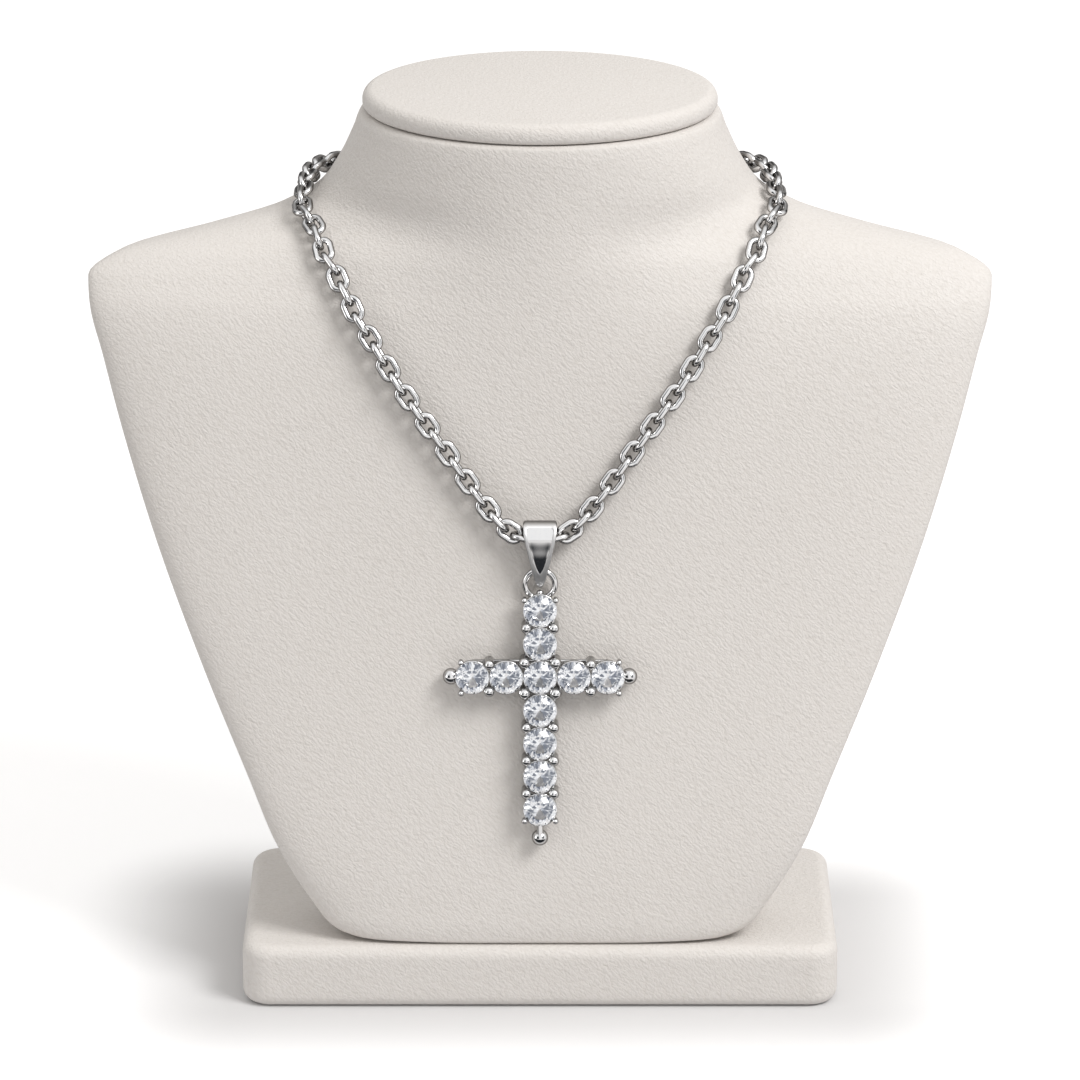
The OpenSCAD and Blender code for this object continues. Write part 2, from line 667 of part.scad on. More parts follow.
// Round brilliant with its culet at the origin
module brilliant() {
    r = stone_d / 2;
    low = pavilion_share * stone_d;
    high = low + girdle_share * stone_d;
    top = high + crown_share * stone_d;
    star_r = r * crown_meet_r;
    star_z = high + (top - high) * crown_meet_z;
    main_r = r * pavilion_meet_r;
    main_z = low * pavilion_meet_z;
    points = concat(
        [[0, 0, 0]],
        [for (k = [0:7]) [main_r * cos(45 * k + 22.5), main_r * sin(45 * k + 22.5), main_z]],
        [for (k = [0:15]) [r * cos(22.5 * k), r * sin(22.5 * k), low]],
        [for (k = [0:15]) [r * cos(22.5 * k), r * sin(22.5 * k), high]],
        [for (k = [0:7]) [star_r * cos(45 * k), star_r * sin(45 * k), star_z]],
        [for (k = [0:7]) [r * table_share * cos(45 * k + 22.5), r * table_share * sin(45 * k + 22.5), top]]
    );
    half = 1;
    girdle_low = 9;
    girdle_high = 25;
    star = 41;
    table = 49;
    faces = concat(
        [for (k = [0:7]) [0, half + (k + 7) % 8, girdle_low + 2 * k, half + k]],
        [for (k = [0:7]) [half + k, girdle_low + 2 * k, girdle_low + 2 * k + 1]],
        [for (k = [0:7]) [half + k, girdle_low + 2 * k + 1, girdle_low + (2 * k + 2) % 16]],
        [for (k = [0:15]) let (next = (k + 1) % 16)
            [girdle_low + k, girdle_high + k, girdle_high + next, girdle_low + next]],
        [for (k = [0:7]) [girdle_high + 2 * k, star + k, girdle_high + 2 * k + 1]],
        [for (k = [0:7]) [girdle_high + 2 * k + 1, star + (k + 1) % 8, girdle_high + (2 * k + 2) % 16]],
        [for (k = [0:7]) [girdle_high + 2 * k + 1, star + k, table + k]],
        [for (k = [0:7]) [girdle_high + 2 * k + 1, table + k, star + (k + 1) % 8]],
        [for (k = [0:7]) [star + k, table + (k + 7) % 8, table + k]],
        [[for (k = [7:-1:0]) table + k]]
    );
    polyhedron(points, faces, convexity = 2);
}
module stone(i) {
    color("white") on_chest()
        translate([stone_places[i][0], stone_places[i][1], culet_z]) brilliant();
}

display_base();
display_bust();
neck_cap();
chain_left();
chain_right();
clasp();
bail();
jump_ring();
cross_setting();
stone(0);  // stone_1
stone(1);  // stone_2
stone(2);  // stone_3
stone(3);  // stone_4
stone(4);  // stone_5
stone(5);  // stone_6
stone(6);  // stone_7
stone(7);  // stone_8
stone(8);  // stone_9
stone(9);  // stone_10
stone(10);  // stone_11
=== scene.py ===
"""Looks, camera and light for a cross pendant necklace on a neck bust."""

import functools
import logging
import math
from dataclasses import dataclass
from enum import Enum
from typing import Any, Sequence

import bmesh
import bpy
import numpy as np
from mathutils import Matrix, Vector


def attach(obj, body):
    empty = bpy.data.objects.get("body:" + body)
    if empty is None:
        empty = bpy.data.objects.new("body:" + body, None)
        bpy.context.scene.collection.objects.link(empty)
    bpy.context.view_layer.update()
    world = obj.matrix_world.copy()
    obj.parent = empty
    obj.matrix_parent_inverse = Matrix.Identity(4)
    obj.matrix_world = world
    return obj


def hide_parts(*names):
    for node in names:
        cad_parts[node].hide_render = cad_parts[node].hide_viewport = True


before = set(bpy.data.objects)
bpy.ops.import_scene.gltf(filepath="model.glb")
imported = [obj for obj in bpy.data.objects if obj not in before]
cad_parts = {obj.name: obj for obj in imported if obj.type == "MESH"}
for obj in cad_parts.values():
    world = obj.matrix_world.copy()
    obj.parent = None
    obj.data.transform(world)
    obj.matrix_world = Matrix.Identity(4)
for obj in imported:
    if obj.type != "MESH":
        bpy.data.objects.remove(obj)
log = logging.getLogger("cross_pendant")
MM = 0.001
QUARTER = math.pi / 2
SIGNS = (-1, 1)
BODY = "root"
NODE_STEP = 190
Socket = bpy.types.NodeSocket
Node = bpy.types.Node
Tree = bpy.types.NodeTree
Mesh = bpy.types.Mesh
Material = bpy.types.Material


class Slot(Enum):
    """Material slots of the record."""

    LEATHERETTE = "leatherette"
    METAL = "polished_metal"
    STONE = "clear_stone"


class Side(Enum):
    """Sides of the necklace, with the sign of their X."""

    LEFT = -1
    RIGHT = 1


class Form(Enum):
    """Forms that the setting repeats."""

    BALL = "ball"
    POST = "post"


class Wiring:
    """Adds nodes to a tree and joins their sockets."""

    def __init__(self, tree: Tree) -> None:
        """Keeps the tree that is filled."""
        self.tree = tree
        self.column = 0

    def feed(self, node: Node, values: dict[Any, Any]) -> None:
        """Fills a node's inputs.

        Args:
            node: the node.
            values: socket name or number to a value or to an output socket.
        """
        for name, value in values.items():
            if isinstance(value, Socket):
                self.tree.links.new(value, node.inputs[name])
            else:
                node.inputs[name].default_value = value

    def add(self, kind: str, inputs: dict[Any, Any] | None = None, **settings: Any) -> Node:
        """Adds a node, sets it and fills its inputs.

        Args:
            kind: the node's type name.
            inputs: what its inputs are fed with.
            settings: properties of the node.

        Returns:
            The new node.
        """
        node = self.tree.nodes.new(kind)
        node.location = (self.column * NODE_STEP, 0)
        self.column += 1
        for name, value in settings.items():
            setattr(node, name, value)
        self.feed(node, inputs or {})
        return node

    def out(self, kind: str, inputs: dict[Any, Any] | None = None, **settings: Any) -> Socket:
        """Adds a node and gives its first output."""
        return self.add(kind, inputs, **settings).outputs[0]

    def math(self, operation: str, *values: Any) -> Socket:
        """Adds a Math node and gives its result."""
        return self.out("ShaderNodeMath", dict(enumerate(values)), operation=operation)

    def vector(self, operation: str, *values: Any) -> Socket:
        """Adds a Vector Math node and gives its vector."""
        return self.out("ShaderNodeVectorMath", dict(enumerate(values)), operation=operation)

    def mix(self, share: Any, low: Any, high: Any) -> Socket:
        """Adds a Mix node for two colours and gives the mixed one."""
        return self.add("ShaderNodeMix", {0: share, 6: low, 7: high}, data_type="RGBA").outputs[2]

    def noise(self, place: Socket, scale: Any, detail: float = 2.0) -> Node:
        """Adds a Noise Texture node."""
        return self.add("ShaderNodeTexNoise", {"Vector": place, "Scale": scale, "Detail": detail})

    def ramp(self, value: Any, start: float, end: float, way: str = "SMOOTHSTEP") -> Socket:
        """Adds a Map Range node that goes from 0 at the start to 1 at the end, and gives its result."""
        values = {"Value": value, "From Min": start, "From Max": end}
        return self.out("ShaderNodeMapRange", values, interpolation_type=way)

    def place(self) -> Socket:
        """Gives the Object coordinates."""
        return self.add("ShaderNodeTexCoord").outputs["Object"]

    def xyz(self, **parts: Any) -> Socket:
        """Joins numbers into a vector."""
        return self.out("ShaderNodeCombineXYZ", parts)

    def parts(self, vector: Socket) -> Any:
        """Splits a vector into X, Y and Z."""
        return self.add("ShaderNodeSeparateXYZ", {0: vector}).outputs

    def marked(self, name: str) -> Socket:
        """Gives a vector that each point carries."""
        return self.out("GeometryNodeInputNamedAttribute", {"Name": name}, data_type="FLOAT_VECTOR")

    def close(self, end: Node, geometry: Socket, finish: Socket, smooth: Any = True) -> None:
        """Ends a Geometry Nodes tree with real, shaded and dressed pieces.

        Args:
            end: the tree's Group Output node.
            geometry: the pieces.
            finish: their material.
            smooth: whether they are shaded smooth.
        """
        real = self.out("GeometryNodeRealizeInstances", {"Geometry": geometry})
        shaded = self.out("GeometryNodeSetShadeSmooth", {"Geometry": real, "Shade Smooth": smooth})
        self.feed(end, {0: self.out("GeometryNodeSetMaterial", {"Geometry": shaded, "Material": finish})})


class TreeMaker:
    """Starts materials and node groups."""

    @staticmethod
    def material(name: str) -> tuple[Material, Wiring, Node]:
        """Starts a material.

        Args:
            name: the material's name.

        Returns:
            The material, its wiring and its shader.
        """
        material = bpy.data.materials.new(name)
        material.use_nodes = True
        return material, Wiring(material.node_tree), material.node_tree.nodes["Principled BSDF"]

    @staticmethod
    def group(kind: str, name: str, outputs: Sequence[str], **inputs: Sequence[str]) -> tuple:
        """Starts a group.

        Args:
            kind: Shader, whose outputs are numbers, or Geometry.
            name: the group's name.
            outputs: names of the outputs.
            inputs: names of the inputs, for each kind of socket.

        Returns:
            The tree, its wiring, the sockets that come in and its Group Output node.
        """
        tree = bpy.data.node_groups.new(name, f"{kind}NodeTree")
        rows = [(label, "INPUT", sort) for sort, labels in inputs.items() for label in labels]
        rows += [(label, "OUTPUT", "Float" if kind == "Shader" else kind) for label in outputs]
        for label, way, sort in rows:
            tree.interface.new_socket(label, in_out=way, socket_type=f"NodeSocket{sort}")
        wiring = Wiring(tree)
        return tree, wiring, wiring.add("NodeGroupInput").outputs, wiring.add("NodeGroupOutput")


class MeshWorks:
    """Small mesh tools that the pieces share."""

    @staticmethod
    def mesh(name: str, points: Sequence, faces: Sequence[Sequence[int]], smooth: bool = True) -> Mesh:
        """Makes a mesh from points in millimetres.

        Args:
            name: the mesh's name.
            points: the points.
            faces: point numbers of each face.
            smooth: whether the faces are shaded smooth.

        Returns:
            The mesh, in metres.
        """
        mesh = bpy.data.meshes.new(name)
        mesh.from_pydata([tuple(p * MM) for p in np.asarray(points, float)], [], list(faces))
        mesh.polygons.foreach_set("use_smooth", [smooth] * len(mesh.polygons))
        mesh.update()
        return mesh

    @staticmethod
    def quads(rings: int, count: int, closed: bool) -> list[list[int]]:
        """Lists the faces between rings of points.

        Args:
            rings: how many rings there are.
            count: how many points each has.
            closed: whether the last ring joins the first.

        Returns:
            Point numbers of each face.
        """
        faces = []
        for ring in range(rings if closed else rings - 1):
            here, there = ring * count, (ring + 1) % rings * count
            for k in range(count):
                after = (k + 1) % count
                faces.append([here + k, here + after, there + after, there + k])
        return faces

    @staticmethod
    def skin(name: str, rings: Sequence[np.ndarray]) -> Mesh:
        """Makes a closed skin over rings of points.

        Args:
            name: the mesh's name.
            rings: arrays of points, each with the same count, from the bottom up.

        Returns:
            The mesh.
        """
        count = len(rings[0])
        faces = MeshWorks.quads(len(rings), count, closed=False)
        faces.append(list(range(count))[::-1])
        faces.append([(len(rings) - 1) * count + k for k in range(count)])
        return MeshWorks.outwards(MeshWorks.mesh(name, np.concatenate(rings), faces))

    @staticmethod
    def ball(count: int, rows: int) -> Mesh:
        """Makes a ball of radius 1, whose faces come in the same order in each run.

        Args:
            count: sides round it.
            rows: rows of faces from pole to pole.

        Returns:
            The mesh.
        """
        tilts = [math.pi * k / rows for k in range(rows - 1, 0, -1)]
        turns = [2 * math.pi * k / count for k in range(count)]
        spots = [(math.sin(t), math.cos(t), a) for t in tilts for a in turns]
        rings = [(r * math.cos(a), r * math.sin(a), z) for r, z, a in spots]
        low, high, last = len(rings), len(rings) + 1, len(rings) - count
        faces = MeshWorks.quads(rows - 1, count, closed=False)
        faces += [[(k + 1) % count, k, low] for k in range(count)]
        faces += [[last + k, last + (k + 1) % count, high] for k in range(count)]
        return MeshWorks.mesh("ball", np.array(rings + [(0, 0, -1), (0, 0, 1)]) / MM, faces)

    @staticmethod
    def outwards(mesh: Mesh, merge: float = 1e-7) -> Mesh:
        """Merges doubles and turns the faces outwards.

        Args:
            mesh: a closed mesh.
            merge: points closer than this become one, in metres.

        Returns:
            The same mesh.
        """
        work = bmesh.new()
        work.from_mesh(mesh)
        bmesh.ops.remove_doubles(work, verts=work.verts, dist=merge)
        bmesh.ops.recalc_face_normals(work, faces=work.faces)
        work.to_mesh(mesh)
        work.free()
        return mesh

    @staticmethod
    def kept(name: str, work: bmesh.types.BMesh) -> Mesh:
        """Keeps worked geometry as a mesh and frees the work.

        Args:
            name: the mesh's name.
            work: the geometry.

        Returns:
            The mesh.
        """
        mesh = bpy.data.meshes.new(name)
        work.to_mesh(mesh)
        work.free()
        return mesh

    @staticmethod
    def joined(name: str, meshes: Sequence[Mesh]) -> Mesh:
        """Joins meshes into one.

        Args:
            name: the new mesh's name.
            meshes: the meshes, which are removed.

        Returns:
            The joined mesh.
        """
        work = bmesh.new()
        for mesh in meshes:
            work.from_mesh(mesh)
            bpy.data.meshes.remove(mesh)
        return MeshWorks.kept(name, work)

    @staticmethod
    def show(name: str, mesh: Mesh, material: Material, slot: Slot, *nodes: str) -> Mesh:
        """Puts a finished piece into the scene in place of its CAD nodes.

        Args:
            name: the piece's name.
            mesh: its mesh, in place.
            material: its finish.
            slot: the record's slot; it is not used.
            nodes: the CAD nodes that it stands for.

        Returns:
            The piece's mesh.
        """
        mesh.name = name
        mesh.materials.clear()
        mesh.materials.append(material)
        piece = bpy.data.objects.new(name, mesh)
        bpy.context.scene.collection.objects.link(piece)
        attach(piece, BODY)
        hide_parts(*nodes)
        log.info("%s: %d faces", name, len(mesh.polygons))
        return mesh


class Grower:
    """Runs a Geometry Nodes tree once and keeps its result as a plain mesh."""

    @staticmethod
    def grow(tree: Tree, values: dict[str, Any], points: Sequence, **vectors: Sequence) -> Mesh:
        """Runs a tree on loose points.

        Args:
            tree: the tree.
            values: input name to value.
            points: places in millimetres.
            vectors: attribute name to the vectors that the points carry.

        Returns:
            The result as a plain mesh.
        """
        base = MeshWorks.mesh("points", points, [])
        for name, rows in vectors.items():
            layer = base.attributes.new(name, "FLOAT_VECTOR", "POINT")
            layer.data.foreach_set("vector", np.asarray(rows, np.float32).ravel())
        host = bpy.data.objects.new("host", base)
        bpy.context.scene.collection.objects.link(host)
        modifier = host.modifiers.new("grow", "NODES")
        modifier.node_group = tree
        for item in tree.interface.items_tree:
            if item.item_type == "SOCKET" and item.in_out == "INPUT" and item.name in values:
                modifier[item.identifier] = values[item.name]
        bpy.context.view_layer.update()
        graph = bpy.context.evaluated_depsgraph_get()
        result = host.evaluated_get(graph)
        grown = bpy.data.meshes.new_from_object(result, preserve_all_data_layers=True, depsgraph=graph)
        host.modifiers.remove(modifier)
        bpy.data.objects.remove(host)
        bpy.data.meshes.remove(base)
        return grown


class ShaderParts:
    """Shader groups that more than one finish uses, each built once."""

    @staticmethod
    @functools.cache
    def grain() -> Tree:
        """Builds the fine wrinkled grain of leatherette.

        Returns:
            The group, which gives a height and two masks.
        """
        masks, sizes = ("Height", "Valleys", "Clouds"), ("Wrinkles per metre", "Stretch", "Turn")
        tree, w, given, end = TreeMaker.group("Shader", "leatherette_grain", masks, Float=sizes)
        sway_share, sway_reach, ridge_share, cloud_scale = 0.7, 1.3, 1.5, 16.0
        dome_height, ridge_height, valley_range = 0.5, 0.8, (0.35, 0.85)
        place = w.place()
        density = given["Wrinkles per metre"]
        turning = {"Rotation": w.xyz(Y=given["Turn"]), "Scale": w.xyz(X=given["Stretch"], Y=1.0, Z=1.0)}
        turned = w.out("ShaderNodeMapping", {"Vector": place, **turning}, vector_type="TEXTURE")
        sway = w.noise(place, w.math("MULTIPLY", density, sway_share), detail=1.0).outputs["Color"]
        reach = w.math("DIVIDE", sway_reach, density)
        push = {0: w.vector("SUBTRACT", sway, (0.5, 0.5, 0.5)), "Scale": reach}
        wavy = w.vector("ADD", turned, w.out("ShaderNodeVectorMath", push, operation="SCALE"))
        cells = w.add("ShaderNodeTexVoronoi", {"Vector": wavy, "Scale": density}).outputs["Distance"]
        ridges = w.noise(wavy, w.math("MULTIPLY", density, ridge_share)).outputs["Fac"]
        dome = w.math("MULTIPLY", w.math("SUBTRACT", 1.0, cells), dome_height)
        w.feed(end, {
            "Height": w.math("ADD", dome, w.math("MULTIPLY", ridges, ridge_height)),
            "Valleys": w.ramp(cells, *valley_range, "LINEAR"),
            "Clouds": w.noise(place, cloud_scale).outputs["Fac"],
        })
        return tree

    @staticmethod
    @functools.cache
    def polish() -> Tree:
        """Builds the faint marks of polishing on metal.

        Returns:
            The group, which gives a roughness and a height.
        """
        sizes = ("Gloss", "Haze", "Marks per metre")
        tree, w, given, end = TreeMaker.group("Shader", "polish_marks", ("Roughness", "Height"), Float=sizes)
        smear_share, drawn_share = 0.3, 0.12
        place = w.place()
        density = given["Marks per metre"]
        smear = w.noise(place, w.math("MULTIPLY", density, smear_share), detail=3.0).outputs["Fac"]
        drawn = w.out("ShaderNodeMapping", {"Vector": place, "Scale": (1.0, 1.0, drawn_share)})
        w.feed(end, {
            "Roughness": w.math("ADD", given["Gloss"], w.math("MULTIPLY", given["Haze"], smear)),
            "Height": w.noise(drawn, density, detail=4.0).outputs["Fac"],
        })
        return tree


@dataclass(frozen=True)
class Leatherette:
    """Pale leatherette with a fine wrinkled grain, whose valleys are painted darker as painted shade in the
    creases.
    """

    name: str = "pale_leatherette"
    light: tuple = (0.75, 0.723, 0.70, 1.0)
    # colour of the painted shade in the grain's creases, also reached by the random clouds
    deep: tuple = (0.65, 0.617, 0.583, 1.0)
    wrinkles: float = 1250.0
    stretch: float = 2.0
    turn: float = 0.75
    painted_crease_shade: float = 0.35
    cloud_shade: float = 0.3
    depth_mm: float = 0.52
    bump: float = 0.5
    roughness: float = 0.5
    valley_roughness: float = 0.64
    shine: float = 0.35

    def build(self) -> Material:
        """Builds the material.

        Returns:
            The material.
        """
        material, w, shader = TreeMaker.material(self.name)
        grain = w.add("ShaderNodeGroup", node_tree=ShaderParts.grain())
        w.feed(grain, {"Wrinkles per metre": self.wrinkles, "Stretch": self.stretch, "Turn": self.turn})
        valleys = grain.outputs["Valleys"]
        clouds = w.math("MULTIPLY", grain.outputs["Clouds"], self.cloud_shade)
        # painted shade: the grain's valleys are painted towards the deep colour; the clouds vary the tone at
        # random
        tone = w.math("ADD", w.math("MULTIPLY", valleys, self.painted_crease_shade), clouds)
        roughness = {"Value": valleys, "To Min": self.roughness, "To Max": self.valley_roughness}
        relief = {"Height": grain.outputs["Height"], "Strength": self.bump, "Distance": self.depth_mm * MM}
        w.feed(shader, {
            "Base Color": w.mix(tone, self.light, self.deep),
            "Roughness": w.out("ShaderNodeMapRange", roughness),
            "Normal": w.out("ShaderNodeBump", relief),
            "Specular IOR Level": self.shine,
        })
        return material


@dataclass(frozen=True)
class PolishedMetal:
    """Bright plated metal with faint polishing marks, painted darker where it is seen at a grazing angle:
    painted shade and painted dark reflection at its rims.
    """

    name: str = "polished_plating"
    colour: tuple = (0.86, 0.855, 0.85, 1.0)
    shade: tuple = (0.80, 0.80, 0.81, 1.0)
    # painted shade: the dark colour that the rims seen at a grazing angle are painted with
    edge: tuple = (0.20, 0.195, 0.19, 1.0)
    grazing_shade_from: float = 0.12
    grazing_shade_to: float = 0.66
    gloss: float = 0.04
    haze: float = 0.05
    marks: float = 900.0
    depth_mm: float = 0.02
    bump: float = 0.06

    def build(self) -> Material:
        """Builds the material.

        Returns:
            The material.
        """
        material, w, shader = TreeMaker.material(self.name)
        marks = w.add("ShaderNodeGroup", node_tree=ShaderParts.polish())
        w.feed(marks, {"Gloss": self.gloss, "Haze": self.haze, "Marks per metre": self.marks})
        height = marks.outputs["Height"]
        # painted shade and painted dark reflection: the colour turns to the dark edge colour as the surface
        # is seen more at a grazing angle
        facing = w.add("ShaderNodeLayerWeight", {"Blend": 0.5}).outputs["Facing"]
        away = w.ramp(facing, self.grazing_shade_from, self.grazing_shade_to)
        relief = {"Height": height, "Strength": self.bump, "Distance": self.depth_mm * MM}
        w.feed(shader, {
            "Base Color": w.mix(away, w.mix(height, self.colour, self.shade), self.edge),
            "Roughness": marks.outputs["Roughness"],
            "Normal": w.out("ShaderNodeBump", relief),
            "Metallic": 1.0,
        })
        return material


@dataclass(frozen=True)
class ClearStone:
    """Clear cut stone with flat polished facets."""

    name: str = "clear_cut_stone"
    tint: tuple = (0.985, 0.99, 1.0, 1.0)
    haze: tuple = (0.95, 0.965, 1.0, 1.0)
    veils: float = 400.0
    ior: float = 1.76

    def build(self) -> Material:
        """Builds the material.

        Returns:
            The material.
        """
        material, w, shader = TreeMaker.material(self.name)
        veil = w.noise(w.place(), self.veils).outputs["Fac"]
        colour = w.mix(veil, self.tint, self.haze)
        w.feed(shader, {"Base Color": colour, "Roughness": 0.0, "IOR": self.ior, "Transmission Weight": 1.0})
        return material


@dataclass(frozen=True)
class StudioFloor:
    """Plain pale floor, which the camera sees lifted to white away from the stand by a painted glow that
    paints out the shadow there.
    """

    name: str = "studio_floor"
    colour: tuple = (0.70, 0.70, 0.71, 1.0)
    patches: float = 3.0
    patch_tone: float = 0.99
    roughness: float = 0.9
    # strength of the painted glow, seen only by the camera, that lifts the floor to white away from the stand
    lift: float = 0.0
    stand: tuple = (0.083, 0.039)
    painted_glow_reach: float = 0.058
    dark: tuple = (0.02, 0.022, 0.026, 1.0)
    dark_from: tuple = ()

    def build(self) -> Material:
        """Builds the material, which goes dark in depth where dark_from says so.

        Returns:
            The material.
        """
        material, w, shader = TreeMaker.material(self.name)
        place = w.place()
        parts = w.parts(place)
        soft = (*(c * self.patch_tone for c in self.colour[:3]), 1.0)
        colour = w.mix(w.noise(place, self.patches).outputs["Fac"], self.colour, soft)
        if self.dark_from:
            colour = w.mix(w.ramp(parts["Y"], *self.dark_from), colour, self.dark)
        beyond = {
            axis: w.math("MAXIMUM", w.math("SUBTRACT", w.math("ABSOLUTE", parts[axis]), half), 0.0)
            for axis, half in zip("XY", self.stand)
        }
        # a painted glow, seen only by the camera, rises with the distance beyond the stand and paints the
        # floor's shadow out to white
        away = w.add("ShaderNodeVectorMath", {0: w.xyz(**beyond)}, operation="LENGTH").outputs["Value"]
        seen = w.add("ShaderNodeLightPath").outputs["Is Camera Ray"]
        w.feed(shader, {
            "Base Color": colour,
            "Roughness": self.roughness,
            "Specular IOR Level": 0.0,
            "Emission Color": w.math("MULTIPLY", w.ramp(away, 0.0, self.painted_glow_reach), seen),
            "Emission Strength": self.lift,
        })
        return material


@dataclass
class BustShape:
    """Sections of the bust in shares of its sizes, from its foot to the top of its neck.

    A row holds: height, half width, front, widest line, back, how square the front is, how square the back
    is, and how far the front beside the throat falls back.
    """

    width: float = 252.0
    height: float = 222.0
    depth: float = 114.0
    throat_share: float = 0.31
    foot_z: float = 18.3
    foot_y: float = -36.8
    near_angle: float = 3.0
    near_height: float = 0.009
    rows: tuple = (
        (0.000, 0.168, 0.010, 0.120, 0.310, 5.00, 5.00, 0.00),
        (0.004, 0.210, 0.002, 0.112, 0.320, 5.00, 5.00, 0.00),
        (0.018, 0.234, 0.000, 0.112, 0.330, 5.00, 5.00, 0.00),
        (0.045, 0.252, 0.004, 0.112, 0.340, 5.00, 5.00, 0.00),
        (0.080, 0.272, 0.011, 0.121, 0.350, 5.50, 5.00, 0.00),
        (0.129, 0.295, 0.023, 0.130, 0.360, 6.00, 5.00, 0.00),
        (0.199, 0.319, 0.042, 0.147, 0.370, 6.50, 5.00, 0.00),
        (0.338, 0.368, 0.082, 0.191, 0.420, 6.40, 5.00, 0.00),
        (0.498, 0.419, 0.126, 0.240, 0.480, 5.60, 4.00, 0.04),
        (0.637, 0.456, 0.160, 0.280, 0.570, 4.20, 2.60, 0.14),
        (0.727, 0.477, 0.178, 0.315, 0.640, 3.40, 2.10, 0.26),
        (0.786, 0.491, 0.190, 0.350, 0.710, 2.90, 1.80, 0.38),
        (0.816, 0.493, 0.196, 0.385, 0.760, 2.40, 1.70, 0.45),
        (0.840, 0.460, 0.200, 0.428, 0.810, 2.20, 1.70, 0.47),
        (0.856, 0.390, 0.203, 0.465, 0.850, 2.15, 1.70, 0.47),
        (0.876, 0.300, 0.206, 0.530, 0.910, 2.10, 1.80, 0.40),
        (0.901, 0.246, 0.209, 0.585, 0.970, 2.05, 2.00, 0.22),
        (0.936, 0.222, 0.212, 0.602, 0.995, 2.05, 2.05, 0.05),
        (0.976, 0.205, 0.213, 0.604, 0.995, 2.05, 2.05, 0.00),
        (0.996, 0.198, 0.217, 0.604, 0.990, 2.05, 2.05, 0.00),
        (1.000, 0.192, 0.226, 0.604, 0.980, 2.05, 2.05, 0.00),
    )

    def __post_init__(self) -> None:
        """Works out the steepness of each column at each row, kept from overshooting."""
        self.table = np.array(self.rows)
        rises = np.diff(self.table, axis=0) / np.diff(self.table[:, 0])[:, None]
        slopes = [rises[0]]
        for below, above in zip(rises[:-1], rises[1:]):
            same = below * above > 0
            slopes.append(np.where(same, 2 * below * above / np.where(same, below + above, 1.0), 0.0))
        self.slopes = np.array(slopes + [rises[-1]])

    def section(self, share: float) -> np.ndarray:
        """Interpolates the table at a height share.

        Args:
            share: height as a share of the bust's height.

        Returns:
            One row like those of the table.
        """
        at = min(1.0, max(0.0, share))
        i = min(len(self.table) - 2, int(np.searchsorted(self.table[:, 0], at, side="right")) - 1)
        span = self.table[i + 1, 0] - self.table[i, 0]
        u = (at - self.table[i, 0]) / span
        return (
            (1 + 2 * u) * (1 - u) ** 2 * self.table[i]
            + u * (1 - u) ** 2 * span * self.slopes[i]
            + u * u * (3 - 2 * u) * self.table[i + 1]
            + u * u * (u - 1) * span * self.slopes[i + 1]
        )

    def point(self, angle: float, share: float) -> np.ndarray:
        """Gives a point on the bust.

        Args:
            angle: degrees round the bust, 0 at the front and 90 at the right side.
            share: height share.

        Returns:
            The point in millimetres.
        """
        _, half, front, widest, back, square_front, square_back, throat = self.section(share)
        sine, cosine = math.sin(math.radians(angle)), math.cos(math.radians(angle))
        square, end = (square_front, front) if cosine >= 0 else (square_back, back)
        aside = min(1.0, half * abs(sine) / self.throat_share)
        fall = throat * (1 - math.cos(math.pi * aside)) / 2 if cosine >= 0 else 0.0
        bulge = max(0.0, 1 - abs(sine) ** square) ** (1 / square) * (1 - fall)
        return np.array([
            self.width * half * sine,
            self.foot_y + self.depth * (widest + (end - widest) * bulge),
            self.foot_z + self.height * share,
        ])

    def normal(self, angle: float, share: float) -> np.ndarray:
        """Gives the outward direction at a point, from four points close by.

        Args:
            angle: degrees round the bust.
            share: height share.

        Returns:
            The direction.
        """
        below, above = share - self.near_height, min(1.0, share + self.near_height)
        across = self.point(angle + self.near_angle, share) - self.point(angle - self.near_angle, share)
        along = self.point(angle, above) - self.point(angle, below)
        out = np.cross(across, along)
        return out / np.linalg.norm(out)


